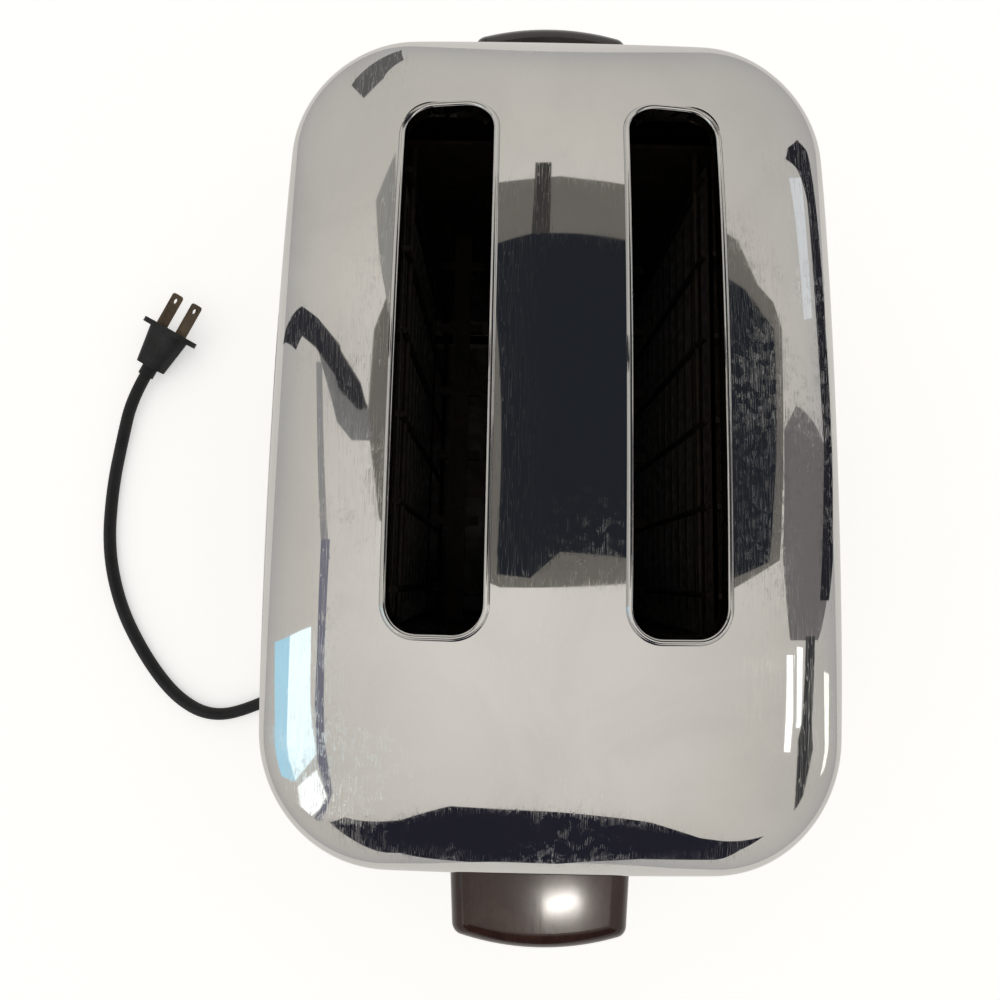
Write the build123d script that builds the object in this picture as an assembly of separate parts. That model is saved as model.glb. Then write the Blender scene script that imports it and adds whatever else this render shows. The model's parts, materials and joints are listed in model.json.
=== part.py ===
from build123d import *
from math import acos, atan2, cos, degrees, hypot, radians, sin, tan
import os

# Two-slot pop-up toaster. X runs across the slots, Y along them with the rear at +Y, Z is up.
# The origin is on the table under the middle of the body. The carriage is shown raised.

# Shell outline at the height where the wall turns into the shoulder
shell_half_width = 76.0
shell_half_length = 112.4
shell_side_bow = 3.0
shell_end_bow = 1.5
shell_corner_radius = 35.0
shell_wall = 1.0
shell_draft = 1.5
shell_bottom_z = 20.0
shell_flange_width = 4.0
shoulder_z = 159.3
shoulder_lower_radius = 13.0
shoulder_upper_radius = 42.0
shoulder_bend_tilt = 38.0
shoulder_end_tilt = 13.0
shoulder_depth = 33.0
shoulder_lap = 7.0
crown_z = 184.0
crown_radius_across = 220.0
crown_radius_along = 620.0
crown_spread = 1.5
reach = 400.0

# Slots and their rolled rims
slot_front_margin = 60.4
slot_rear_margin = 29.4
slot_width = 22.65
slot_spacing = 58.0
slot_corner_radius = 7.0
rim_width = 1.9
rim_height = 0.95
rim_depth = 12.0

# Base, feet and chassis plate
plinth_overhang = 1.5
plinth_wall = 6.0
plinth_bottom_z = 6.0
plinth_floor = 3.0
plinth_edge_radius = 1.0
foot_radius = 8.0
foot_top_radius = 9.0
foot_side_inset = 15.5
foot_end_inset = 18.9
foot_recess_radius = 4.6
foot_recess_depth = 3.5
boss_radius = 4.6
chassis_thickness = 1.2
chassis_margin = 1.0
crumb_opening_half_width = 48.0
crumb_opening_front_inset = 4.0
crumb_opening_rear_inset = 5.0

# Frame plates, wells, heaters
frame_thickness = 1.2
frame_gap_front = 2.0
frame_gap_rear = 2.0
frame_side_inset = 12.0
frame_top_gap = 1.3
frame_tab_width = 14.0
frame_tab_length = 12.0
frame_tab_inset = 16.5
card_thickness = 0.6
card_offset = 17.0
card_bottom_z = 38.0
card_top_z = 150.0
ribbon_thickness = 0.25
ribbon_width = 1.6
ribbon_count = 12
ribbon_margin = 6.0
guard_wire_radius = 0.9
guard_offset = 11.8
guard_bottom_z = 30.0
guard_top_z = 164.0
guard_wire_count = 6
guard_bar_low_z = 33.0
guard_bar_high_z = 156.0
reflector_inset = 6.0
reflector_thickness = 0.8
reflector_bottom_z = 30.0
reflector_top_z = 154.0
bus_thickness = 0.8
bus_height = 6.0
bus_half_width = 50.0
bus_low_z = 26.0
bus_high_z = 140.0
bus_insulator_margin = 1.5

# Carriage, shown raised
travel = 60.0
rack_top_z = 105.0
rack_thickness = 3.0
rack_bar_width = 6.0
rack_rib_length = 15.0
rack_rib_width = 3.0
rack_rib_count = 6
rack_rear_overhang = 3.0
rack_slot_clearance = 0.8
bracket_gap = 6.8
bracket_thickness = 1.5
bracket_half_width = 36.0
bracket_bottom_z = 97.0
bracket_top_z = 112.0
rod_depth = 40.4
rod_radius = 3.0
running_clearance = 0.05
bush_radius = 6.0
bush_top_z = 131.0
pad_half_width = 5.0
arm_pad_length = 1.0
lever_z = 124.0
lever_height = 10.0
lever_thickness = 2.5
lever_slot_clearance = 1.75
lever_slot_end_clearance = 2.0
lever_socket_inset = 10.0
socket_clearance = 0.05
bumper_radius = 6.5
bumper_height = 4.0
bumper_gap = 0.3

# Lever knob and rear handle
knob_reach = 33.0
knob_front_bow = 4.0
knob_half_width = 26.9
knob_end_half_width = 25.4
knob_gap = 3.5
knob_bottom_z = 113.0
knob_top_z = 135.0
knob_corner_radius = 3.0
knob_top_radius = 6.0
knob_bottom_radius = 2.5
handle_gap = 0.2
grip_half_width = 18.0
grip_depth = 13.0
grip_wall = 5.0
grip_shell_wall = 6.0

# Rod bracket and lift spring
rod_bracket_z = 152.0
rod_bracket_thickness = 1.5
rod_bracket_half_width = 26.0
rod_bracket_reach = 8.0
rod_bracket_flange_height = 12.0
spring_x = -18.0
spring_offset_y = 3.4
spring_radius = 3.4
spring_wire_radius = 0.6
spring_turns = 16
spring_lug_half_width = 5.0
spring_lug_overhang = 4.9
spring_lug_thickness = 1.5
spring_seat_gap = 0.3

# Latch, seen from the front: the hook turns on a pin and swings its nose over the catch tab
latch_pin_x = 28.0
latch_pin_z = 33.0
latch_pin_radius = 2.0
latch_pin_head_radius = 3.5
latch_pin_head_thickness = 1.2
latch_gap = 2.0
latch_thickness = 2.0
latch_open_angle = 25.0
latch_arm_half_width = 3.0
latch_nose_length = 8.0
latch_nose_height = 4.0
catch_tab_inner_x = 12.0
catch_tab_outer_x = 20.0
catch_tab_thickness = 2.0
catch_clearance = 0.5

# Browning control
browning_z = 36.5
browning_knob_radius = 11.5
browning_knob_grip_radius = 9.5
browning_knob_length = 11.0
browning_skirt_length = 3.0
browning_skirt_edge_radius = 1.0
browning_grip_edge_radius = 1.5
browning_pointer_width = 1.2
browning_pointer_height = 0.5
browning_pointer_root = 2.0
browning_pointer_margin = 1.5
browning_hole_clearance = 0.5
browning_flute_count = 18
browning_flute_radius = 1.1
browning_shaft_radius = 3.0
browning_shaft_depth = 29.4
browning_shaft_engage = 8.0
browning_knob_gap = 1.2
browning_bearing_half_width = 9.0
browning_bearing_thickness = 2.0
browning_bearing_depth = 14.4
cam_radius = 7.5
cam_eccentricity = 1.5
cam_thickness = 4.0
cam_front_depth = 22.4
thermostat_width = 12.0
thermostat_length = 12.0
thermostat_height = 8.0
thermostat_depth = 25.4
bimetal_thickness = 0.8
bimetal_width = 8.0
bimetal_height = 46.0
bimetal_gap = 0.8

# Switch and terminals
switch_x = -28.0
switch_gap = 3.0
switch_length = 14.0
switch_width = 10.0
switch_height = 13.6
leaf_thickness = 0.4
leaf_length = 22.0
leaf_width = 6.0
leaf_gap = 1.6
terminal_inset = 26.0
terminal_length = 22.0
terminal_width = 12.0
terminal_height = 11.0
terminal_pitch = 11.0
wire_radius = 1.2

# Crumb tray
tray_thickness = 1.1
tray_gap = 0.3
tray_overlap = 2.5
tray_lip_height = 2.4
hinge_offset_y = 1.0
hinge_z = 3.2
hinge_pin_radius = 1.25
hinge_barrel_radius = 2.5
hinge_barrel_half_length = 36.0
hinge_side_gap = 0.5
hinge_lug_width = 4.0

# Screws
m3_radius = 1.5
m4_radius = 2.0
screw_clearance = 0.1
m3_head_radius = 2.9
m3_head_height = 2.0
m4_head_radius = 3.9
m4_head_height = 2.6
m3_nut_across = 5.5
m4_nut_across = 7.0
m3_nut_height = 2.4
m4_nut_height = 3.2
screw_end = 1.5
handle_screw_x = 14.0
handle_screw_z = 130.0
handle_screw_engage = 10.0

# Cord: points of the lead from the strain relief to the plug, chosen by hand and measured across
# and along from the shell's left side and front end, with heights from the table
cord_diameter = 5.6
cord_points = [
    (-16.0, 28.4, 11.5),
    (-30.5, 25.7, 8.4),
    (-43.5, 14.4, 3.6),
    (-61.5, 6.6, 2.85),
    (-73.0, 4.5, 2.85),
    (-84.5, 7.4, 2.85),
    (-97.5, 16.9, 2.85),
    (-111.8, 34.8, 2.85),
    (-124.4, 56.8, 2.85),
    (-132.2, 83.9, 2.85),
    (-132.6, 114.4, 2.85),
    (-129.4, 139.4, 3.2),
    (-125.7, 159.3, 4.6),
    (-119.0, 171.6, 6.0),
]
arc_share = 0.45
relief_radius = 5.5
relief_tip_radius = 4.2
relief_sleeve_length = 12.0
relief_inner_inset = 6.0

# Plug: lies on the edge of its flange, in line with the end of the cord
plug_roll = -10.0
plug_neck_length = 5.0
plug_neck_radius = 3.6
plug_body_length = 19.0
plug_body_width = 14.0
plug_body_height = 10.0
plug_front_width = 20.0
plug_front_height = 11.5
plug_flange_length = 2.5
plug_flange_width = 30.0
plug_flange_height = 12.0
plug_rounding_share = 0.42
blade_length = 17.5
blade_width = 6.35
blade_thickness = 1.5
blade_spacing = 12.7
blade_root = 6.0
blade_hole_radius = 1.6
blade_hole_from_tip = 3.6

# Values worked out from the ones above
rim_bottom_z = crown_z - rim_depth
slot_front_y = slot_front_margin - shell_half_length
slot_rear_y = shell_half_length - slot_rear_margin
slot_length = slot_rear_y - slot_front_y
slot_offset_y = (slot_front_y + slot_rear_y) / 2
foot_x = shell_half_width - foot_side_inset
foot_y = shell_half_length - foot_end_inset
crumb_opening_front_y = slot_front_y + crumb_opening_front_inset
crumb_opening_rear_y = slot_rear_y - crumb_opening_rear_inset
frame_half_width = shell_half_width - frame_side_inset
frame_top_z = shoulder_z - frame_top_gap
frame_tab_x = foot_x - frame_tab_inset
reflector_x = frame_half_width - reflector_inset
terminal_x = terminal_inset - shell_half_width
relief_inner_x = relief_inner_inset - shell_half_width
cord_route = [(x - shell_half_width, y - shell_half_length, z) for x, y, z in cord_points]
rod_y = rod_depth - shell_half_length
rod_bracket_front_y = rod_y - rod_bracket_reach
spring_y = rod_y + spring_offset_y
spring_lug_front_y = spring_y - spring_lug_overhang
browning_shaft_rear_y = browning_shaft_depth - shell_half_length
browning_bearing_y = browning_bearing_depth - shell_half_length
cam_front_y = cam_front_depth - shell_half_length
thermostat_y = thermostat_depth - shell_half_length
knob_front_y = -shell_half_length - knob_reach
knob_side_y = knob_front_y + knob_front_bow
lever_socket_y = knob_front_y + lever_socket_inset
side_radius = (shell_half_length**2 + shell_side_bow**2) / (2 * shell_side_bow)
end_radius = (shell_half_width**2 + shell_end_bow**2) / (2 * shell_end_bow)
side_centre_x = shell_half_width - side_radius
end_centre_y = shell_half_length - end_radius
chassis_bottom_z = shell_bottom_z + shell_wall
chassis_top_z = chassis_bottom_z + chassis_thickness
frame_front_y = slot_front_y - frame_gap_front
frame_rear_y = slot_rear_y + frame_gap_rear
hinge_y = frame_rear_y + hinge_offset_y
bracket_rear_y = frame_front_y - frame_thickness - bracket_gap
bracket_front_y = bracket_rear_y - bracket_thickness
latch_rear_y = bracket_front_y - latch_gap
switch_y = bracket_front_y - switch_gap
arm_rear_y = rod_y - bush_radius - arm_pad_length
well_centres = {"left": -slot_spacing / 2, "right": slot_spacing / 2}


def wall_reach(z):
    """How far the drafted wall stands out at height z beyond its shoulder size."""
    return (shoulder_z - z) * tan(radians(shell_draft))


def meeting_point(grow):
    """Where a side arc and an end arc cross in the first quadrant, both grown outwards."""
    centre_gap = hypot(side_centre_x, end_centre_y)
    side_grown = side_radius + grow
    end_grown = end_radius + grow
    along = (centre_gap**2 + side_grown**2 - end_grown**2) / (2 * centre_gap)
    across = (side_grown**2 - along**2) ** 0.5
    unit_x = -side_centre_x / centre_gap
    unit_y = end_centre_y / centre_gap
    return (side_centre_x + along * unit_x - across * unit_y, along * unit_y + across * unit_x)


def plan_outline(grow, z):
    """Rounded rectangle with gently bowed sides, grown outwards all round, at height z."""
    corner_x, corner_y = meeting_point(grow)
    half_x = shell_half_width + grow
    half_y = shell_half_length + grow
    with BuildSketch(Plane.XY.offset(z)) as sketch:
        with BuildLine():
            ThreePointArc((-corner_x, -corner_y), (0, -half_y), (corner_x, -corner_y))
            ThreePointArc((corner_x, -corner_y), (half_x, 0), (corner_x, corner_y))
            ThreePointArc((corner_x, corner_y), (0, half_y), (-corner_x, corner_y))
            ThreePointArc((-corner_x, corner_y), (-half_x, 0), (-corner_x, -corner_y))
        make_face()
        fillet(sketch.vertices(), radius=shell_corner_radius + grow)
    return sketch.sketch


def crown_body(inset=0):
    """A block whose top is the crown: an arc along the body turned about an axis below it."""
    radius_y = crown_radius_along - inset
    top = crown_z - inset
    half = crown_spread * shell_half_length
    edge_z = top - radius_y + (radius_y**2 - half**2) ** 0.5
    pivot_z = crown_z - crown_radius_across
    low_z = (shell_bottom_z + pivot_z) / 2
    with BuildSketch(Plane.YZ) as profile:
        with BuildLine():
            ThreePointArc((-half, edge_z), (0, top), (half, edge_z))
            Polyline((half, edge_z), (half, low_z), (-half, low_z), (-half, edge_z))
        make_face()
    pivot = Axis((0, 0, pivot_z), (0, 1, 0))
    swing = degrees(atan2(crown_spread * shell_half_width, shell_bottom_z - pivot_z))
    return revolve(profile.sketch.rotate(pivot, -swing), axis=pivot, revolution_arc=2 * swing)


def level_edges(body, low, high):
    """Edges that run round the body at about one height, between low and high."""
    band = body.edges().filter_by_position(Axis.Z, low, high)
    return band.filter_by(lambda edge: abs((edge % 0.5).Z) < 0.3)


def arc_point(centre, radius, tilt):
    """Point of an arc whose outward normal is tilted from the vertical by tilt degrees."""
    return (centre[0] + radius * sin(radians(tilt)), centre[1] + radius * cos(radians(tilt)))


def wall_section(plane, radius, inset):
    """Section through wall and shoulder, drawn outwards from the centre of a plan arc."""
    lower = shoulder_lower_radius - inset
    upper = shoulder_upper_radius - inset
    wall_tilt = 90 - shell_draft
    lower_centre = (radius - shoulder_lower_radius, shoulder_z)
    bend = arc_point(lower_centre, shoulder_lower_radius, shoulder_bend_tilt)
    upper_centre = arc_point(bend, -shoulder_upper_radius, shoulder_bend_tilt)
    wall_top = arc_point(lower_centre, lower, wall_tilt)
    lower_end = arc_point(lower_centre, lower, shoulder_bend_tilt)
    upper_end = arc_point(upper_centre, upper, shoulder_end_tilt)
    inner = radius - shoulder_depth
    rise = (upper_end[0] - inner) * tan(radians(shoulder_end_tilt))
    foot = (wall_top[0] + (wall_top[1] - shell_bottom_z) * tan(radians(shell_draft)), shell_bottom_z)
    with BuildSketch(plane) as sketch:
        with BuildLine():
            Line(foot, wall_top)
            lower_middle = (wall_tilt + shoulder_bend_tilt) / 2
            ThreePointArc(wall_top, arc_point(lower_centre, lower, lower_middle), lower_end)
            upper_middle = (shoulder_bend_tilt + shoulder_end_tilt) / 2
            ThreePointArc(lower_end, arc_point(upper_centre, upper, upper_middle), upper_end)
            Polyline(upper_end, (inner, upper_end[1] + rise), (inner, shell_bottom_z), foot)
        make_face()
    return sketch.sketch


def shell_form(inset):
    """The body's outer form, or the same form drawn in by inset everywhere: the wall section
    turned round the centre of each arc of the plan, filled in the middle and cut by the crown."""
    corner_x, corner_y = meeting_point(-shell_corner_radius)
    side_turn = degrees(atan2(corner_y, corner_x - side_centre_x))
    end_turn = degrees(atan2(corner_x, corner_y - end_centre_y))
    corner_turn = 90 - side_turn - end_turn
    arcs = []
    for quarter in (0, 180):
        sign = 1 if quarter == 0 else -1
        arcs.append(((sign * side_centre_x, 0), side_radius, quarter - side_turn, 2 * side_turn))
        arcs.append(((0, sign * end_centre_y), end_radius, quarter + 90 - end_turn, 2 * end_turn))
        corner = (sign * corner_x, sign * corner_y)
        arcs.append((corner, shell_corner_radius, quarter + side_turn, corner_turn))
        corner = (-sign * corner_x, sign * corner_y)
        arcs.append((corner, shell_corner_radius, quarter + 90 + end_turn, corner_turn))
    pieces = []
    for centre, radius, start, turn in arcs:
        outward = Vector(cos(radians(start)), sin(radians(start)), 0)
        plane = Plane(origin=(*centre, 0), x_dir=outward, z_dir=outward.cross(Vector(0, 0, 1)))
        section = wall_section(plane, radius, inset)
        pieces.append(revolve(section, axis=Axis((*centre, 0), (0, 0, 1)), revolution_arc=turn))
    middle = extrude(plan_outline(shoulder_lap - shoulder_depth, shell_bottom_z), amount=crown_z)
    return (middle + pieces) & crown_body(inset)


def slot_prism(centre_x, grow, bottom, top):
    """A slot's rounded outline, grown all round, between two heights."""
    with BuildSketch(Plane.XY.offset(bottom)) as sketch:
        with Locations((centre_x, slot_offset_y)):
            RectangleRounded(slot_width + 2 * grow, slot_length + 2 * grow, slot_corner_radius + grow)
    return extrude(sketch.sketch, amount=top - bottom)


def block(low_x, high_x, low_y, high_y, low_z, high_z):
    """A plain box between two corners."""
    size = (high_x - low_x, high_y - low_y, high_z - low_z)
    centre = ((low_x + high_x) / 2, (low_y + high_y) / 2, (low_z + high_z) / 2)
    return Pos(*centre) * Box(*size)


def post(x, y, radius, low_z, high_z):
    """An upright cylinder."""
    return Pos(x, y, (low_z + high_z) / 2) * Cylinder(radius, high_z - low_z)


def spindle(x, z, radius, low_y, high_y):
    """A cylinder along Y."""
    return Pos(x, (low_y + high_y) / 2, z) * Rot(90, 0, 0) * Cylinder(radius, high_y - low_y)


def axle(y, z, radius, low_x, high_x):
    """A cylinder along X."""
    return Pos((low_x + high_x) / 2, y, z) * Rot(0, 90, 0) * Cylinder(radius, high_x - low_x)


def outer_shell():
    """Drawn steel shell with rimmed slots, a turned-in bottom edge and a lever slot in front."""
    floor_cut = block(-reach, reach, -reach, reach, -reach, shell_bottom_z + shell_wall)
    body = shell_form(0) - (shell_form(shell_wall) - floor_cut)
    flange_grow = wall_reach(shell_bottom_z) - shell_wall - shell_flange_width
    body -= extrude(plan_outline(flange_grow, shell_bottom_z), amount=shell_wall)
    raised_crown = Pos(0, 0, rim_height) * crown_body()
    for centre in well_centres.values():
        body -= slot_prism(centre, rim_width / 2, rim_bottom_z, 2 * crown_z)
        rim = slot_prism(centre, rim_width, rim_bottom_z, 2 * crown_z)
        rim -= slot_prism(centre, 0, rim_bottom_z, 2 * crown_z)
        body += (rim & raised_crown).solids()[0]
    slot_half = lever_thickness / 2 + lever_slot_clearance
    slot_low = lever_z - travel - lever_height / 2 - lever_slot_end_clearance
    slot_high = lever_z + lever_height / 2 + lever_slot_end_clearance
    body -= block(-slot_half, slot_half, -reach, -shell_half_length / 2, slot_low, slot_high)
    hole = browning_shaft_radius + browning_hole_clearance
    body -= spindle(0, browning_z, hole, -reach / 2, -shell_half_length / 2)
    for x in (-handle_screw_x, handle_screw_x):
        hole = m4_radius + screw_clearance
        body -= spindle(x, handle_screw_z, hole, shell_half_length / 2, reach / 2)
    return body


def plinth():
    """Moulded base: a rim that carries the shell, a floor with the crumb opening, and bosses."""
    grow = wall_reach(shell_bottom_z) + plinth_overhang
    body = extrude(plan_outline(grow, plinth_bottom_z), amount=shell_bottom_z - plinth_bottom_z)
    outer_edges = level_edges(body, plinth_bottom_z - 1, shell_bottom_z + 1)
    body = fillet(outer_edges, radius=plinth_edge_radius)
    floor_z = plinth_bottom_z + plinth_floor
    body -= extrude(plan_outline(grow - plinth_wall, floor_z), amount=shell_bottom_z)
    body -= block(
        -crumb_opening_half_width, crumb_opening_half_width,
        crumb_opening_front_y, crumb_opening_rear_y, 0, floor_z + 1,
    )
    for x in (-foot_x, foot_x):
        for y in (-foot_y, foot_y):
            body += post(x, y, boss_radius, plinth_bottom_z, chassis_bottom_z)
            body -= post(x, y, m4_radius + screw_clearance, 0, reach)
    lug_inner = hinge_barrel_half_length + hinge_side_gap
    for side in (-1, 1):
        low, high = sorted((side * lug_inner, side * (lug_inner + hinge_lug_width)))
        lug = block(low, high, hinge_y - hinge_barrel_radius, hinge_y + hinge_barrel_radius,
                    hinge_z, plinth_bottom_z + 1)
        lug += axle(hinge_y, hinge_z, hinge_barrel_radius, low, high)
        body += lug
    body -= axle(hinge_y, hinge_z, hinge_pin_radius, -reach / 4, reach / 4)
    body -= strain_relief()
    return body.solids().sort_by(SortBy.VOLUME)[-1]


def feet():
    """Four rubber feet, recessed for the base screws."""
    pads = []
    for x in (-foot_x, foot_x):
        for y in (-foot_y, foot_y):
            pad = Pos(x, y, plinth_bottom_z / 2) * Cone(foot_radius, foot_top_radius, plinth_bottom_z)
            pad -= post(x, y, foot_recess_radius, -1, foot_recess_depth)
            pad -= post(x, y, m4_radius + screw_clearance, 0, reach)
            pads.append(pad)
    return pads


def chassis_plate():
    """Steel plate that clamps the shell's turned-in edge on the base and carries the frames."""
    grow = wall_reach(chassis_bottom_z) - shell_wall - chassis_margin
    plate = extrude(plan_outline(grow, chassis_bottom_z), amount=chassis_thickness)
    plate -= block(
        -crumb_opening_half_width, crumb_opening_half_width,
        crumb_opening_front_y, crumb_opening_rear_y, 0, reach,
    )
    for x in (-foot_x, foot_x):
        for y in (-foot_y, foot_y):
            plate -= post(x, y, m4_radius + screw_clearance, 0, reach)
    for x, y in frame_tab_centres():
        plate -= post(x, y, m3_radius + screw_clearance, 0, reach)
    for x in wire_columns():
        plate -= post(x, relief_root().Y, wire_radius + screw_clearance, 0, reach)
    return plate


def frame_tab_centres():
    """Where the frame plates' tabs are screwed to the chassis plate."""
    front = frame_front_y - frame_thickness - frame_tab_length / 2
    rear = frame_rear_y + frame_thickness + frame_tab_length / 2
    return [(x, y) for x in (-frame_tab_x, frame_tab_x) for y in (front, rear)]


def frame_plate(low_y, side):
    """Upright steel plate at one end of the wells, slotted for the racks, with two foot tabs."""
    plate = block(-frame_half_width, frame_half_width, low_y, low_y + frame_thickness,
                  chassis_top_z, frame_top_z)
    corner_edges = plate.edges().filter_by(Axis.Y).sort_by(Axis.Z)[-2:]
    plate = chamfer(corner_edges, length=shoulder_lower_radius - frame_top_gap)
    half = rack_bar_width / 2 + rack_slot_clearance
    low = rack_top_z - rack_thickness - travel - 2 * rack_slot_clearance
    high = rack_top_z + 2 * rack_slot_clearance
    for centre in well_centres.values():
        plate -= block(centre - half, centre + half, -reach, reach, low, high)
    outer_y = low_y if side < 0 else low_y + frame_thickness
    tab_y = sorted((outer_y, outer_y + side * frame_tab_length))
    for x in (-frame_tab_x, frame_tab_x):
        tab = block(x - frame_tab_width / 2, x + frame_tab_width / 2, *tab_y,
                    chassis_top_z, chassis_top_z + frame_thickness)
        plate += tab
    for x, y in frame_tab_centres():
        plate -= post(x, y, m3_radius + screw_clearance, 0, chassis_top_z + frame_thickness + 1)
    return plate


def heater_card(x):
    """Mica card that stands between the frame plates."""
    half = card_thickness / 2
    return block(x - half, x + half, frame_front_y, frame_rear_y, card_bottom_z, card_top_z)


def heater_ribbons(x, facing):
    """Flat resistance ribbons across one face of a card, on the bread's side."""
    face = x + facing * card_thickness / 2
    low_x, high_x = sorted((face, face + facing * ribbon_thickness))
    first = card_bottom_z + ribbon_margin
    pitch = (card_top_z - card_bottom_z - 2 * ribbon_margin) / (ribbon_count - 1)
    strips = []
    for index in range(ribbon_count):
        z = first + index * pitch
        strips.append(block(low_x, high_x, frame_front_y + ribbon_margin, frame_rear_y - ribbon_margin,
                            z - ribbon_width / 2, z + ribbon_width / 2))
    return strips


def bread_guard(x):
    """Welded wire grid that keeps the bread off the ribbons, held between the frame plates."""
    span = frame_rear_y - frame_front_y
    pitch = span / guard_wire_count
    wires = [spindle(x, z, guard_wire_radius, frame_front_y, frame_rear_y)
             for z in (guard_bar_low_z, guard_bar_high_z)]
    for index in range(guard_wire_count):
        y = frame_front_y + pitch * (index + 0.5)
        wires.append(post(x, y, guard_wire_radius, guard_bottom_z, guard_top_z))
    grid = wires[0]
    for wire in wires[1:]:
        grid = grid + wire
    return grid.solids().sort_by(SortBy.VOLUME)[-1]


def side_reflector(side):
    """Polished sheet behind an outer card."""
    low, high = sorted((side * reflector_x, side * (reflector_x + reflector_thickness)))
    return block(low, high, frame_front_y, frame_rear_y, reflector_bottom_z, reflector_top_z)


def bus_insulator():
    """Two mica strips on the back of the rear frame plate."""
    rear = frame_rear_y + frame_thickness
    margin = bus_insulator_margin
    return [block(-bus_half_width - margin, bus_half_width + margin, rear, rear + bus_thickness,
                  z - margin, z + bus_height + margin) for z in (bus_low_z, bus_high_z)]


def bus_bars():
    """Two strips that join the ribbon ends, on their insulators."""
    front = frame_rear_y + frame_thickness + bus_thickness
    return [block(-bus_half_width, bus_half_width, front, front + bus_thickness, z, z + bus_height)
            for z in (bus_low_z, bus_high_z)]


def bread_rack(centre):
    """Rack bar with cross ribs, which carries one slice."""
    low_z = rack_top_z - rack_thickness
    rear_y = frame_rear_y + frame_thickness + rack_rear_overhang
    rack = block(centre - rack_bar_width / 2, centre + rack_bar_width / 2,
                 bracket_rear_y, rear_y, low_z, rack_top_z)
    pitch = (frame_rear_y - frame_front_y) / rack_rib_count
    for index in range(rack_rib_count):
        y = frame_front_y + pitch * (index + 0.5)
        rack += block(centre - rack_rib_length / 2, centre + rack_rib_length / 2,
                      y - rack_rib_width / 2, y + rack_rib_width / 2, low_z, rack_top_z)
    return rack


def carriage_bracket():
    """Cross plate that carries both racks, with the spring lug and the catch tab."""
    plate = block(-bracket_half_width, bracket_half_width, bracket_front_y, bracket_rear_y,
                  bracket_bottom_z, bracket_top_z)
    lug_z = bracket_top_z - 2 * spring_lug_thickness
    plate += block(spring_x - spring_lug_half_width, spring_x + spring_lug_half_width,
                   spring_lug_front_y, bracket_front_y, lug_z, lug_z + spring_lug_thickness)
    plate += block(catch_tab_inner_x, catch_tab_outer_x, latch_rear_y - latch_thickness - 1,
                   bracket_front_y, bracket_bottom_z, bracket_bottom_z + catch_tab_thickness)
    return plate


def carriage_bush():
    """Brass bush that slides on the guide rod, with pads for the bracket and the lever arm."""
    bush = post(0, rod_y, bush_radius, bracket_bottom_z, bush_top_z)
    bush += block(-pad_half_width, pad_half_width, rod_y, bracket_front_y, bracket_bottom_z, bracket_top_z)
    bush += block(-pad_half_width / 2, pad_half_width / 2, arm_rear_y, rod_y,
                  lever_z - lever_height / 2, lever_z + lever_height / 2)
    return bush - post(0, rod_y, rod_radius + running_clearance, 0, reach)


def lever_arm():
    """Flat bar from the bush through the shell's front slot into the knob."""
    half = lever_thickness / 2
    return block(-half, half, lever_socket_y, arm_rear_y, lever_z - lever_height / 2, lever_z + lever_height / 2)


def grip_outline(inner_y):
    """Half of a grip's plan: straight sides that close in a little, and a bowed outer edge."""
    with BuildSketch(Plane.XY.offset(knob_bottom_z)) as sketch:
        with BuildLine():
            Polyline((-knob_end_half_width, knob_side_y), (-knob_half_width, inner_y),
                     (knob_half_width, inner_y), (knob_end_half_width, knob_side_y))
            ThreePointArc((knob_end_half_width, knob_side_y), (0, knob_front_y),
                          (-knob_end_half_width, knob_side_y))
        make_face()
        outer = sketch.vertices().sort_by(Axis.Y)[:2]
        fillet(outer, radius=knob_corner_radius)
    return sketch.sketch


def grip_block(inner_y):
    """A grip with a rounded upper outer edge."""
    grip = extrude(grip_outline(inner_y), amount=knob_top_z - knob_bottom_z)
    keep = inner_y - knob_corner_radius / 2
    upper = level_edges(grip, knob_top_z - 1, knob_top_z + 1).filter_by_position(Axis.Y, -reach, keep)
    grip = fillet(upper, radius=knob_top_radius)
    lower = level_edges(grip, knob_bottom_z - 1, knob_bottom_z + 1).filter_by_position(Axis.Y, -reach, keep)
    return fillet(lower, radius=knob_bottom_radius)


def lever_knob():
    """Wide moulded knob, pushed on the lever arm."""
    wall_y = -shell_half_length - wall_reach(lever_z)
    knob = grip_block(wall_y - knob_gap)
    half = lever_thickness / 2 + socket_clearance
    half_height = lever_height / 2 + socket_clearance
    return knob - block(-half, half, lever_socket_y, 0, lever_z - half_height, lever_z + half_height)


def rear_handle():
    """Fixed handle of the same outline as the knob, hollowed from below for the fingers."""
    handle = grip_block(-shell_half_length + knob_gap).rotate(Axis.Z, 180)
    handle = handle - shell_form(-handle_gap)
    handle = handle.solids().sort_by(SortBy.VOLUME)[-1]
    wall_y = shell_half_length + wall_reach(knob_bottom_z)
    handle -= block(-grip_half_width, grip_half_width, wall_y + grip_shell_wall,
                    -knob_side_y - grip_wall, knob_bottom_z - 1, knob_bottom_z + grip_depth)
    for x in (-handle_screw_x, handle_screw_x):
        tip = shell_half_length + handle_screw_engage + screw_clearance
        handle -= spindle(x, handle_screw_z, m4_radius + screw_clearance, 0, tip)
    return handle


def guide_rod():
    """Upright rod that the carriage slides on."""
    return post(0, rod_y, rod_radius, chassis_top_z, rod_bracket_z + rod_bracket_thickness + 1)


def rod_bracket():
    """Angle on the front frame plate that holds the rod's top and the lift spring."""
    rear = frame_front_y - frame_thickness
    half = rod_bracket_half_width
    angle = block(-half, half, rod_bracket_front_y, rear, rod_bracket_z, rod_bracket_z + rod_bracket_thickness)
    angle += block(-half, half, rear - rod_bracket_thickness, rear,
                   rod_bracket_z - rod_bracket_flange_height, rod_bracket_z + rod_bracket_thickness)
    return angle - post(0, rod_y, rod_radius + running_clearance, 0, reach)


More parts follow.
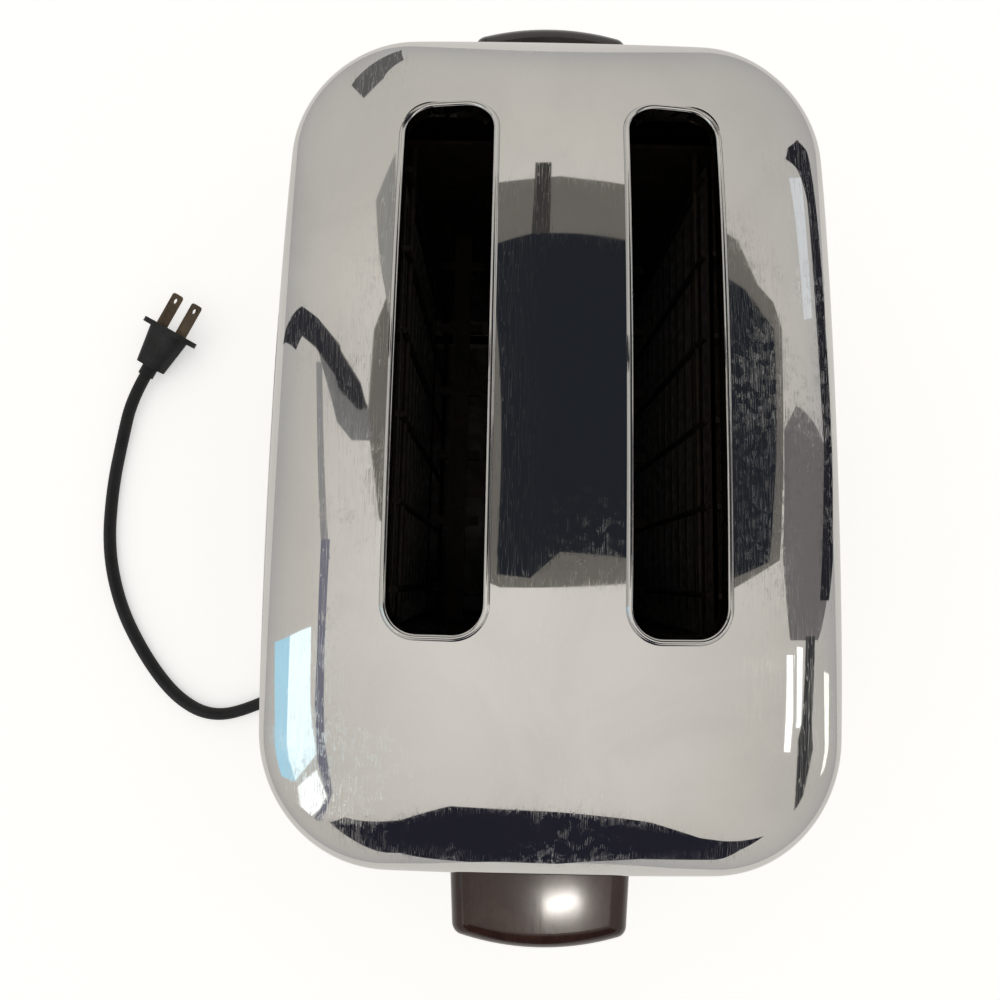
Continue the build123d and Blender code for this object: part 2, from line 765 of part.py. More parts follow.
def top_bumper():
    """Rubber ring on the rod that stops the rising bush."""
    low = bush_top_z + bumper_gap
    ring = post(0, rod_y, bumper_radius, low, low + bumper_height)
    return ring - post(0, rod_y, rod_radius + running_clearance, 0, reach)


def lift_spring():
    """Extension spring from the rod bracket to the carriage bracket's lug."""
    low = bracket_top_z - spring_lug_thickness + spring_seat_gap + spring_wire_radius
    high = rod_bracket_z - spring_seat_gap - spring_wire_radius
    height = high - low
    path = Helix(pitch=height / spring_turns, height=height, radius=spring_radius)
    start = Plane(origin=path @ 0, z_dir=path % 0)
    coil = sweep(start * Circle(spring_wire_radius), path=path, is_frenet=True)
    return Pos(spring_x, spring_y, low) * coil


def latch_hook():
    """Hook that holds the carriage down, drawn engaged and then swung open."""
    caught_z = bracket_bottom_z + catch_tab_thickness - travel + catch_clearance
    half = latch_arm_half_width
    arm_x = latch_pin_x - half
    rear = latch_rear_y
    front = rear - latch_thickness
    hook = block(arm_x, latch_pin_x + half, front, rear, latch_pin_z, caught_z + latch_nose_height)
    hook += spindle(latch_pin_x, latch_pin_z, half + 1, front, rear)
    hook += block(arm_x - latch_nose_length, arm_x, front, rear, caught_z, caught_z + latch_nose_height)
    hook -= spindle(latch_pin_x, latch_pin_z, latch_pin_radius + running_clearance, -reach, 0)
    return hook.rotate(Axis((latch_pin_x, 0, latch_pin_z), (0, 1, 0)), latch_open_angle)


def latch_pin():
    """Headed pin, riveted in the front frame plate."""
    rear = frame_front_y - frame_thickness
    front = latch_rear_y - latch_thickness - 2 * running_clearance
    pin = spindle(latch_pin_x, latch_pin_z, latch_pin_radius, front, rear)
    head = spindle(latch_pin_x, latch_pin_z, latch_pin_head_radius, front - latch_pin_head_thickness, front)
    collar = spindle(latch_pin_x, latch_pin_z, latch_pin_head_radius, latch_rear_y + 2 * running_clearance, rear)
    return pin + head + collar


def browning_knob_rear():
    """Where the browning knob's back face lies, in front of the shell."""
    return -shell_half_length - wall_reach(browning_z - browning_knob_radius) - browning_knob_gap


def browning_knob():
    """Fluted round knob with a skirt and a raised pointer line."""
    rear = browning_knob_rear()
    front = rear - browning_knob_length
    skirt = spindle(0, browning_z, browning_knob_radius, rear - browning_skirt_length, rear)
    grip = spindle(0, browning_z, browning_knob_grip_radius, front, rear)
    skirt = fillet(skirt.edges().sort_by(Axis.Y)[0], radius=browning_skirt_edge_radius)
    knob = skirt + fillet(grip.edges().sort_by(Axis.Y)[0], radius=browning_grip_edge_radius)
    for index in range(browning_flute_count):
        angle = radians(360 / browning_flute_count * (index + 0.5))
        reach_out = browning_knob_grip_radius + browning_flute_radius / 2
        x = reach_out * sin(angle)
        z = browning_z + reach_out * cos(angle)
        knob -= spindle(x, z, browning_flute_radius, front - 1, rear - browning_skirt_length)
    half = browning_pointer_width / 2
    pointer_top = browning_z + browning_knob_grip_radius - browning_pointer_margin
    knob += block(-half, half, front - browning_pointer_height, front + 2 * browning_pointer_height,
                  browning_z + browning_pointer_root, pointer_top)
    socket = browning_shaft_radius + socket_clearance
    return knob - spindle(0, browning_z, socket, rear - browning_shaft_engage, rear + 1)


def browning_shaft():
    """Shaft from the knob to the cam."""
    return spindle(0, browning_z, browning_shaft_radius, browning_knob_rear() - browning_shaft_engage,
                   browning_shaft_rear_y)


def browning_cam():
    """Off-centre disc on the shaft, which sets the bimetal strip."""
    cam = spindle(cam_eccentricity, browning_z, cam_radius, cam_front_y, cam_front_y + cam_thickness)
    return cam - spindle(0, browning_z, browning_shaft_radius, -reach, 0)


def browning_bearing():
    """Upright plate on the chassis that carries the browning shaft."""
    half = browning_bearing_half_width
    front = browning_bearing_y - browning_bearing_thickness
    top = browning_z + half
    plate = block(-half, half, front, browning_bearing_y, chassis_top_z, top)
    plate += block(-half, half, front, front + 3 * browning_bearing_thickness,
                   chassis_top_z, chassis_top_z + browning_bearing_thickness)
    return plate - spindle(0, browning_z, browning_shaft_radius + running_clearance, -reach, 0)


def bimetal_x():
    """Inner face of the bimetal strip, just clear of the cam's highest point."""
    return cam_radius + cam_eccentricity + bimetal_gap


def thermostat_base():
    """Ceramic block that clamps the foot of the bimetal strip."""
    low = bimetal_x() - bimetal_thickness
    half = thermostat_length / 2
    body = block(low, low + thermostat_width, thermostat_y - half, thermostat_y + half,
                 chassis_top_z, chassis_top_z + thermostat_height)
    return body - bimetal_strip()


def bimetal_strip():
    """Upright strip that bends as it warms and trips the latch."""
    low = bimetal_x()
    half = bimetal_width / 2
    foot = chassis_top_z + thermostat_height / 4
    return block(low, low + bimetal_thickness, thermostat_y - half, thermostat_y + half,
                 foot, foot + bimetal_height)


def switch_leaves():
    """Two spring leaves that the lowered carriage presses together."""
    z = chassis_top_z + switch_height - 2 * leaf_gap
    half = leaf_width / 2
    low = switch_x - switch_length / 2
    return [block(low, low + leaf_length, switch_y - half, switch_y + half, level, level + leaf_thickness)
            for level in (z, z + leaf_gap)]


def switch_base():
    """Moulded block on the chassis that grips the leaves."""
    half = switch_width / 2
    body = block(switch_x - switch_length / 2, switch_x + switch_length / 2, switch_y - half, switch_y + half,
                 chassis_top_z, chassis_top_z + switch_height)
    for leaf in switch_leaves():
        body -= leaf
    return body


def wire_columns():
    """Where the two lead wires rise through the chassis plate."""
    return [terminal_x - terminal_pitch / 2, terminal_x + terminal_pitch / 2]


def terminal_block():
    """Ceramic block where the lead's wires end."""
    half = terminal_width / 2
    body = block(terminal_x - terminal_length / 2, terminal_x + terminal_length / 2,
                 relief_root().Y - half, relief_root().Y + half, chassis_top_z, chassis_top_z + terminal_height)
    top = chassis_top_z + terminal_height
    for x in wire_columns():
        body -= post(x, relief_root().Y, m3_radius + screw_clearance, chassis_top_z + terminal_height / 2, reach)
        body -= post(x, relief_root().Y, wire_radius + screw_clearance, 0, top - terminal_height / 2)
    return body


def terminal_screws():
    """Two screws on the terminal block."""
    top = chassis_top_z + terminal_height
    return [post(x, relief_root().Y, m3_radius, top - terminal_height / 3, top)
            + post(x, relief_root().Y, m3_head_radius, top, top + m3_head_height) for x in wire_columns()]


def lead_wires():
    """Two insulated wires from the strain relief up to the terminal block."""
    root = relief_root()
    wires = []
    for index, column in enumerate(wire_columns()):
        level = root.Z - (2 * index - 1) * (wire_radius + screw_clearance)
        path = FilletPolyline((relief_inner_x, root.Y, level), (column, root.Y, level),
                              (column, root.Y, chassis_top_z + terminal_height / 3), radius=2 * wire_radius)
        profile = Plane(origin=path @ 0, z_dir=path % 0) * Circle(wire_radius)
        wires.append(sweep(profile, path=path))
    return wires


def crumb_tray():
    """Sheet tray under the crumb opening, with turned-down lips and a hinge barrel at the rear."""
    top = plinth_bottom_z - tray_gap
    half = crumb_opening_half_width + tray_overlap
    front = crumb_opening_front_y - tray_overlap
    plate = block(-half, half, front, hinge_y - hinge_barrel_radius, top - tray_thickness, top)
    lip_z = top - tray_lip_height
    plate += block(-half, half, front, front + tray_thickness, lip_z, top)
    leaf = block(-hinge_barrel_half_length, hinge_barrel_half_length,
                 hinge_y - 2 * hinge_barrel_radius, hinge_y, top - tray_thickness, top)
    barrel = axle(hinge_y, hinge_z, hinge_barrel_radius, -hinge_barrel_half_length, hinge_barrel_half_length)
    tray = plate + leaf + barrel
    return tray - axle(hinge_y, hinge_z, hinge_pin_radius + running_clearance, -reach, reach)


def hinge_pin():
    """Pin of the crumb tray, held in the base's lugs."""
    half = hinge_barrel_half_length + hinge_side_gap + hinge_lug_width
    return axle(hinge_y, hinge_z, hinge_pin_radius, -half, half)


def nut(x, y, low_z, across, height, hole_radius):
    """Hexagon nut with its underside at low_z."""
    hexagon = Pos(x, y, low_z) * extrude(RegularPolygon(across / 2, 6, major_radius=False), amount=height)
    return hexagon - post(x, y, hole_radius + running_clearance, low_z - 1, low_z + height + 1)


def base_screws():
    """Four screws up through the feet, the base and the chassis plate."""
    top = chassis_top_z + m4_nut_height + screw_end
    screws = []
    for x in (-foot_x, foot_x):
        for y in (-foot_y, foot_y):
            screws.append(post(x, y, m4_radius, foot_recess_depth, top)
                          + post(x, y, m4_head_radius, foot_recess_depth - m4_head_height, foot_recess_depth))
    return screws


def base_nuts():
    """Nuts of the base screws, on the chassis plate."""
    return [nut(x, y, chassis_top_z, m4_nut_across, m4_nut_height, m4_radius)
            for x in (-foot_x, foot_x) for y in (-foot_y, foot_y)]


def frame_screws():
    """Four screws through the frame plates' tabs."""
    seat = chassis_top_z + frame_thickness
    low = chassis_bottom_z - m3_nut_height - screw_end
    return [post(x, y, m3_radius, low, seat) + post(x, y, m3_head_radius, seat, seat + m3_head_height)
            for x, y in frame_tab_centres()]


def frame_nuts():
    """Nuts of the frame screws, under the chassis plate."""
    return [nut(x, y, chassis_bottom_z - m3_nut_height, m3_nut_across, m3_nut_height, m3_radius)
            for x, y in frame_tab_centres()]


def handle_screws():
    """Two screws from inside the shell into the rear handle."""
    seat = shell_half_length + wall_reach(handle_screw_z + m4_head_radius) - shell_wall - shell_end_bow / 4
    tip = shell_half_length + handle_screw_engage
    return [spindle(x, handle_screw_z, m4_radius, seat, tip)
            + spindle(x, handle_screw_z, m4_head_radius, seat - m4_head_height, seat)
            for x in (-handle_screw_x, handle_screw_x)]


def relief_root():
    """Middle of the strain relief at the base's wall, behind the start of the lead."""
    start = Vector(*cord_route[0])
    return start - (Vector(*cord_route[1]) - start).normalized() * relief_sleeve_length


def strain_relief():
    """Moulded grommet: a stub through the base's wall and a tapered sleeve in line with the lead."""
    start = Vector(*cord_route[0])
    root = relief_root()
    heading = (start - root).normalized()
    sleeve = Plane(origin=(start + root) / 2, z_dir=heading)
    body = axle(root.Y, root.Z, relief_radius, root.X, relief_inner_x)
    return body + sleeve * Cone(relief_radius, relief_tip_radius, relief_sleeve_length)


def cord_radii():
    """Arc radius at each corner of the route, from the shorter run and the turn."""
    points = [Vector(*point) for point in cord_route]
    radii = []
    for before, corner, after in zip(points, points[1:], points[2:]):
        run_in = corner - before
        run_out = after - corner
        cosine = run_in.dot(run_out) / (run_in.length * run_out.length)
        turn = acos(max(-1, min(1, cosine)))
        radii.append(arc_share * min(run_in.length, run_out.length) / tan(turn / 2))
    return radii


def cord():
    """The lead: straight runs joined by tangent arcs, lying on the table."""
    radii = cord_radii()
    path = FilletPolyline(*cord_route, radius=radii)
    profile = Plane(origin=path @ 0, z_dir=path % 0) * Circle(cord_diameter / 2)
    tube = sweep(profile, path=path)
    section = profile.area
    print("cord radii", [round(radius, 1) for radius in radii])
    print("cord length", round(path.length, 2), "volume share", round(tube.volume / (section * path.length), 4))
    return tube


def plug_plane():
    """Plane at the plug's neck: its normal runs to the blades, its X lies along the flange."""
    neck = Vector(*cord_route[-1])
    forward = (neck - Vector(*cord_route[-2])).normalized()
    level = forward.cross(Vector(0, 0, 1)).normalized()
    across = level.rotate(Axis((0, 0, 0), forward), plug_roll)
    return Plane(origin=neck, x_dir=across, z_dir=forward)


def plug_section(width, height, distance):
    """Rounded section of the plug at a distance from its neck."""
    return plug_plane().offset(distance) * RectangleRounded(width, height, height * plug_rounding_share)


def plug_body():
    """Moulded plug: neck, tapered grip and a wide flange behind the blades."""
    neck = extrude(plug_plane() * Circle(plug_neck_radius), amount=plug_neck_length)
    back = plug_neck_length
    front = back + plug_body_length
    grip = loft([plug_section(plug_body_width, plug_body_height, back),
                 plug_section(plug_front_width, plug_front_height, front)])
    flange = extrude(plug_section(plug_flange_width, plug_flange_height, front), amount=plug_flange_length)
    body = neck + grip + flange
    for blade in plug_blades():
        body -= blade
    return body


def plug_blades():
    """Two flat parallel blades with a hole near each tip."""
    start = plug_neck_length + plug_body_length + plug_flange_length - blade_root
    blades = []
    for side in (-1, 1):
        root = plug_plane().offset(start)
        centre = root * Pos(side * blade_spacing / 2, 0, 0)
        profile = centre * Rectangle(blade_thickness, blade_width)
        blade = extrude(profile, amount=blade_root + blade_length, dir=root.z_dir)
        tip_edges = blade.edges().filter_by(lambda edge: abs((edge % 0.5).dot(root.x_dir)) > 0.99)
        tip_edges = sorted(tip_edges, key=lambda edge: (edge.center() - root.origin).dot(root.z_dir))[-2:]
        blade = fillet(tip_edges, radius=blade_width / 4)
        hole_at = blade_root + blade_length - blade_hole_from_tip
        hole = centre * Pos(0, 0, hole_at) * Rot(0, 90, 0) * Cylinder(blade_hole_radius, 4 * blade_thickness)
        blades.append(blade - hole)
    return blades


def node_solids():
    """Every sub-part by node name."""
    nodes = {
        "outer_shell": outer_shell(),
        "plinth": plinth(),
        "feet": feet(),
        "chassis_plate": chassis_plate(),
        "front_frame_plate": frame_plate(frame_front_y - frame_thickness, -1),
        "rear_frame_plate": frame_plate(frame_rear_y, 1),
        "bus_insulator": bus_insulator(),
        "bus_bars": bus_bars(),
        "carriage_bracket": carriage_bracket(),
        "carriage_bush": carriage_bush(),
        "lever_arm": lever_arm(),
        "lever_knob": lever_knob(),
        "rear_handle": rear_handle(),
        "guide_rod": guide_rod(),
        "rod_bracket": rod_bracket(),
        "top_bumper": top_bumper(),
        "lift_spring": lift_spring(),
        "latch_hook": latch_hook(),
        "latch_pin": latch_pin(),
        "browning_knob": browning_knob(),
        "browning_shaft": browning_shaft(),
        "browning_cam": browning_cam(),
        "browning_bearing": browning_bearing(),
        "thermostat_base": thermostat_base(),
        "bimetal_strip": bimetal_strip(),
        "switch_base": switch_base(),
        "switch_leaves": switch_leaves(),
        "terminal_block": terminal_block(),
        "terminal_screws": terminal_screws(),
        "lead_wires": lead_wires(),
        "crumb_tray": crumb_tray(),
        "hinge_pin": hinge_pin(),
        "base_screws": base_screws(),
        "base_nuts": base_nuts(),
        "frame_screws": frame_screws(),
        "frame_nuts": frame_nuts(),
        "handle_screws": handle_screws(),
        "strain_relief": strain_relief(),
        "cord": cord(),
        "plug_body": plug_body(),
        "plug_blades": plug_blades(),
    }
    for name, centre in well_centres.items():
        side = -1 if centre < 0 else 1
        nodes["bread_rack_" + name] = bread_rack(centre)
        nodes["side_reflector_" + name] = side_reflector(side)
        for place, offset in (("outer", side), ("inner", -side)):
            tail = name + "_" + place
            nodes["heater_card_" + tail] = heater_card(centre + offset * card_offset)
            nodes["heater_ribbons_" + tail] = heater_ribbons(centre + offset * card_offset, -offset)
            nodes["bread_guard_" + tail] = bread_guard(centre + offset * guard_offset)
    return nodes


os.makedirs("parts", exist_ok=True)
for node, shape in node_solids().items():
    if isinstance(shape, list):
        shape = Compound(children=[piece if isinstance(piece, Solid) else piece.solids()[0] for piece in shape])
    export_step(shape, "parts/" + node + ".step")
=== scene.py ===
import json
import math

import bpy
from mathutils import Matrix, Vector
from mathutils.geometry import delaunay_2d_cdt


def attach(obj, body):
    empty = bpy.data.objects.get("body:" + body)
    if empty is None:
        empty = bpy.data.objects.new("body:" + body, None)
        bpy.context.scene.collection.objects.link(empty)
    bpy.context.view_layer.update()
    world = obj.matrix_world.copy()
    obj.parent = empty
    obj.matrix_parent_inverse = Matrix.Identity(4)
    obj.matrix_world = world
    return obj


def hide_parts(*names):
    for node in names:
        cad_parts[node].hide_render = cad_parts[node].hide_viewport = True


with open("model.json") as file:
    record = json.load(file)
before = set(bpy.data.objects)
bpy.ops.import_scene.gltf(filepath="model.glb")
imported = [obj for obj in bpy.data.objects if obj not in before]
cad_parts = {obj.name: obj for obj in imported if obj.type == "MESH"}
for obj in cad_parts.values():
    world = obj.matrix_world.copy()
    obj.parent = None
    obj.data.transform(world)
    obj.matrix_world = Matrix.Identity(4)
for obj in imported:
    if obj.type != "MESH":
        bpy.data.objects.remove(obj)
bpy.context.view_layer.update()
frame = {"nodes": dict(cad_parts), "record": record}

MM = 0.001
nodes = frame["nodes"]

# Camera: nearly straight down from above the front half, 24 mm equivalent
CAMERA_PLACE = (-0.013915, -0.038652, 0.340534)
CAMERA_PITCH = 0.1131
CAMERA_ROLL = -0.0023
CAMERA_YAW = 0.0203
CAMERA_LENS = 24.371

# Cord: the points of the lead from the strain relief to the plug, in millimetres
CORD_DIAMETER = 5.6
CORD_ROUTE = [
    (-92.0, -84.0, 11.5),
    (-106.5, -86.7, 8.4),
    (-119.5, -98.0, 3.6),
    (-137.5, -105.8, 2.85),
    (-149.0, -107.9, 2.85),
    (-160.5, -105.0, 2.85),
    (-173.5, -95.5, 2.85),
    (-187.8, -77.6, 2.85),
    (-200.4, -55.6, 2.85),
    (-208.2, -28.5, 2.85),
    (-208.6, 2.0, 2.85),
    (-205.4, 27.0, 3.2),
    (-201.7, 46.9, 4.6),
    (-195.0, 59.2, 6.0),
]

# Shell, in millimetres: plan, wall, shoulder and crown, with the CAD's own sizes
HALF_WIDTH = 76.0
HALF_LENGTH = 112.4
SIDE_BOW = 3.0
END_BOW = 1.5
CORNER = 35.0
WALL = 1.0
DRAFT = math.radians(1.5)
BOTTOM_Z = 20.0
FLANGE = 4.0
SHOULDER_Z = 159.3
LOWER_RADIUS = 13.0
UPPER_RADIUS = 42.0
BEND = math.radians(38.0)
RAMP = math.radians(13.0)
CROWN_Z = 184.0
CROWN_ACROSS = 220.0
CROWN_ALONG = 620.0
# Soft turn from the shoulder to the crown, which is an edge in the CAD
CROWN_BLEND = 4.0
# Opening for the lever arm in the front wall
LEVER_SLOT_HALF_WIDTH = 3.0
LEVER_SLOT_LOW = 57.0
LEVER_SLOT_HIGH = 131.0
# Rounded edge where the flange turns up into the wall
FOOT_EDGE_RADIUS = 1.2
FOOT_EDGE_INSET = 0.4
FOOT_EDGE_RISE = 0.3
FOOT_EDGE_TILT = math.radians(135.0)
# Mesh of the skin: heights of the wall's rings, steps round the plan and over the shoulder,
# the crown's grid and its margin at the edges
WALL_LEVELS = (30.0, 44.0, LEVER_SLOT_LOW, 75.0, 93.0, 112.0, LEVER_SLOT_HIGH, 142.0, 152.0)
SIDE_STEPS = 30
CORNER_STEPS = 34
END_STEPS = 12
LOWER_STEPS = 30
UPPER_STEPS = 22
CROWN_STEP = 2.5
CROWN_MARGIN = 0.9
JOIN_TOLERANCE = 1e-5

# Slots: half width, half length, corner radius, centres
SLOT_HALF_WIDTH = 11.325
SLOT_HALF_LENGTH = 67.5
SLOT_CORNER = 7.0
SLOT_CENTRES = ((-29.0, 15.5), (29.0, 15.5))
RIM_FOOT = 1.9
RIM_BOTTOM_Z = 172.0
# Rolled rim: distance out from the slot's edge, height over the crown
RIM_SECTION = [
    (1.9, -0.04), (1.78, 0.1), (1.66, 0.36), (1.46, 0.66), (1.18, 0.84), (0.88, 0.88),
    (0.58, 0.78), (0.3, 0.5), (0.12, 0.1), (0.02, -0.5), (0.0, -2.0),
]
# Its lower end, folded back up: distance out from the slot's edge, height over the fold
RIM_FOLD = [(0.0, 0.4), (0.5, 0.0), (1.0, 0.4), (1.0, 5.0)]


def add_object(name, data):
    """A new object in the scene that shows this data."""
    made = bpy.data.objects.new(name, data)
    bpy.context.collection.objects.link(made)
    return made


def rotation(pitch, roll, yaw):
    """Camera rotation: roll about Y, then pitch about X, then yaw about Z."""
    turned = Matrix.Rotation(yaw, 4, "Z") @ Matrix.Rotation(pitch, 4, "X")
    return turned @ Matrix.Rotation(roll, 4, "Y")


def make_camera():
    """The photograph's viewpoint."""
    data = bpy.data.cameras.new("photo_camera")
    data.sensor_width = 36
    data.lens = CAMERA_LENS
    data.clip_start = 0.01
    data.clip_end = 50
    camera = add_object("photo_camera", data)
    turn = rotation(CAMERA_PITCH, CAMERA_ROLL, CAMERA_YAW)
    camera.matrix_world = Matrix.Translation(CAMERA_PLACE) @ turn
    bpy.context.scene.camera = camera


def mesh_object(name, points, faces, normals=None):
    """A smooth mesh from points in millimetres, with its own normals if they are given."""
    mesh = bpy.data.meshes.new(name)
    mesh.from_pydata([tuple(c * MM for c in p) for p in points], [], faces)
    mesh.polygons.foreach_set("use_smooth", [True] * len(mesh.polygons))
    if normals:
        mesh.normals_split_custom_set_from_vertices(normals)
    mesh.update()
    return add_object(name, mesh)


def make_cord():
    """The lead: one smooth NURBS line through the route's points."""
    curve = bpy.data.curves.new("power_lead", "CURVE")
    curve.dimensions = "3D"
    curve.bevel_depth = 1
    curve.bevel_resolution = 8
    curve.resolution_u = 16
    curve.use_fill_caps = True
    spline = curve.splines.new("NURBS")
    spline.points.add(len(CORD_ROUTE) - 1)
    for point, place in zip(spline.points, CORD_ROUTE):
        point.co = (*(c * MM for c in place), 1)
        point.radius = CORD_DIAMETER / 2 * MM
    spline.order_u = 3
    spline.use_endpoint_u = True
    cord = add_object("power_lead", curve)
    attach(cord, "housing")
    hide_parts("cord")
    return cord


# Plan of the shell: bowed sides and ends joined by corner arcs

SIDE_RADIUS = (HALF_LENGTH**2 + SIDE_BOW**2) / (2 * SIDE_BOW)
END_RADIUS = (HALF_WIDTH**2 + END_BOW**2) / (2 * END_BOW)
SIDE_CENTRE_X = HALF_WIDTH - SIDE_RADIUS
END_CENTRE_Y = HALF_LENGTH - END_RADIUS


def corner_centre():
    """Centre of the corner arc in the first quadrant."""
    gap = math.hypot(SIDE_CENTRE_X, END_CENTRE_Y)
    side = SIDE_RADIUS - CORNER
    end = END_RADIUS - CORNER
    along = (gap**2 + side**2 - end**2) / (2 * gap)
    across = math.sqrt(side**2 - along**2)
    ux = -SIDE_CENTRE_X / gap
    uy = END_CENTRE_Y / gap
    return SIDE_CENTRE_X + along * ux - across * uy, along * uy + across * ux


CORNER_X, CORNER_Y = corner_centre()
SIDE_TURN = math.atan2(CORNER_Y, CORNER_X - SIDE_CENTRE_X)
END_TURN = math.atan2(CORNER_X, CORNER_Y - END_CENTRE_Y)


def quarter_stations():
    """(centre, radius, angle) of each point of the plan from the +X axis round to the +Y axis."""
    stations = []
    for i in range(SIDE_STEPS):
        stations.append(((SIDE_CENTRE_X, 0.0), SIDE_RADIUS, SIDE_TURN * i / SIDE_STEPS))
    turn = math.pi / 2 - SIDE_TURN - END_TURN
    for i in range(CORNER_STEPS):
        stations.append(((CORNER_X, CORNER_Y), CORNER, SIDE_TURN + turn * i / CORNER_STEPS))
    across = [CORNER_X * (1 - i / END_STEPS) for i in range(END_STEPS)]
    across += [LEVER_SLOT_HALF_WIDTH, 0.0]
    for x in sorted(set(across), reverse=True):
        stations.append(((0.0, END_CENTRE_Y), END_RADIUS, math.acos(x / END_RADIUS)))
    return stations


def ring_stations():
    """(centre, radius, outward direction) of each point of the whole plan, anticlockwise."""
    first = [(c, r, (math.cos(a), math.sin(a))) for c, r, a in quarter_stations()]

    def flipped(entry, sx, sy):
        (cx, cy), radius, (ox, oy) = entry
        return (cx * sx, cy * sy), radius, (ox * sx, oy * sy)

    second = [flipped(e, -1, 1) for e in reversed(first[:-1])]
    half = first + second
    return half + [flipped(e, -1, -1) for e in half[1:-1]]


STATIONS = ring_stations()


def ring(grow):
    """Plan points grown outwards, with their outward directions."""
    return [((c[0] + (r + grow) * o[0], c[1] + (r + grow) * o[1]), o) for c, r, o in STATIONS]


def inward_distance(x, y):
    """Distance in from the plan's edge and the outward direction there."""
    sx, sy = (1 if x >= 0 else -1), (1 if y >= 0 else -1)
    ax, ay = abs(x), abs(y)
    angle = math.atan2(ay - CORNER_Y, ax - CORNER_X)
    if SIDE_TURN < angle < math.pi / 2 - END_TURN:
        reach = math.hypot(ax - CORNER_X, ay - CORNER_Y)
        return CORNER - reach, (sx * math.cos(angle), sy * math.sin(angle))
    side = math.hypot(ax - SIDE_CENTRE_X, ay)
    end = math.hypot(ax, ay - END_CENTRE_Y)
    if SIDE_RADIUS - side < END_RADIUS - end:
        return SIDE_RADIUS - side, (sx * (ax - SIDE_CENTRE_X) / side, sy * ay / side)
    return END_RADIUS - end, (sx * ax / end, sy * (ay - END_CENTRE_Y) / end)


def shoulder(s):
    """Height and slope of wall top, bend and ramp at distance s in from the plan's edge."""
    bend_s = LOWER_RADIUS * (1 - math.sin(BEND))
    centre_s = bend_s + UPPER_RADIUS * math.sin(BEND)
    centre_z = SHOULDER_Z + LOWER_RADIUS * math.cos(BEND) - UPPER_RADIUS * math.cos(BEND)
    ramp_s = centre_s - UPPER_RADIUS * math.sin(RAMP)
    if s <= bend_s:
        tilt = min(math.asin(min(1.0, (LOWER_RADIUS - s) / LOWER_RADIUS)), math.pi / 2 - DRAFT)
        return SHOULDER_Z + LOWER_RADIUS * math.cos(tilt), math.tan(tilt)
    if s <= ramp_s:
        tilt = math.asin((centre_s - s) / UPPER_RADIUS)
        return centre_z + UPPER_RADIUS * math.cos(tilt), math.tan(tilt)
    return centre_z + UPPER_RADIUS * math.cos(RAMP) + (s - ramp_s) * math.tan(RAMP), math.tan(RAMP)


def top_at(x, y, s=None, outward=None):
    """Height and unit normal of the shell's top: the shoulder blended into the crown."""
    if s is None:
        s, outward = inward_distance(x, y)
    low, slope = shoulder(s)
    along = math.sqrt(CROWN_ALONG**2 - y * y)
    rise = along - CROWN_ALONG + CROWN_ACROSS
    across = math.sqrt(rise * rise - x * x)
    crown = CROWN_Z - CROWN_ACROSS + across
    share = min(1.0, max(0.0, 0.5 + 0.5 * (crown - low) / CROWN_BLEND))
    z = crown * (1 - share) + low * share - CROWN_BLEND * share * (1 - share)
    nx = share * slope * outward[0] + (1 - share) * x / across
    ny = share * slope * outward[1] + (1 - share) * y * rise / (along * across)
    length = math.sqrt(nx * nx + ny * ny + 1)
    return z, (nx / length, ny / length, 1 / length)


def slot_ring(centre, grow):
    """A slot's rounded outline grown all round, with points all along it."""
    half_x, half_y = SLOT_HALF_WIDTH + grow, SLOT_HALF_LENGTH + grow
    radius = SLOT_CORNER + grow
    flat_x, flat_y = half_x - radius, half_y - radius
    arc, long_steps, short_steps = 12, 44, 6
    points = []
    corners = [(1, 1, 0), (-1, 1, 1), (-1, -1, 2), (1, -1, 3)]
    for index, (sx, sy, quarter) in enumerate(corners):
        for i in range(arc + 1):
            angle = (quarter + i / arc) * math.pi / 2
            x, y = radius * math.cos(angle), radius * math.sin(angle)
            points.append((sx * flat_x + x, sy * flat_y + y))
        nx, ny, next_quarter = corners[(index + 1) % 4]
        angle = next_quarter * math.pi / 2
        target = (nx * flat_x + radius * math.cos(angle), ny * flat_y + radius * math.sin(angle))
        start = points[-1]
        steps = short_steps if index % 2 == 0 else long_steps
        for i in range(1, steps):
            t = i / steps
            points.append(tuple(a + (b - a) * t for a, b in zip(start, target)))
    return [(centre[0] + x, centre[1] + y) for x, y in points]


def in_slot(x, y, grow):
    """Whether a point is inside a slot's outline grown by grow."""
    for cx, cy in SLOT_CENTRES:
        dx = abs(x - cx) - (SLOT_HALF_WIDTH - SLOT_CORNER)
        dy = abs(y - cy) - (SLOT_HALF_LENGTH - SLOT_CORNER)
        if math.hypot(max(dx, 0), max(dy, 0)) + min(max(dx, dy), 0) < SLOT_CORNER + grow:
            return True
    return False


def quad(row, i, count):
    """Face between two neighbouring rows of points that go all round."""
    j = (i + 1) % count
    low, high = row * count, (row + 1) * count
    return low + i, low + j, high + j, high + i


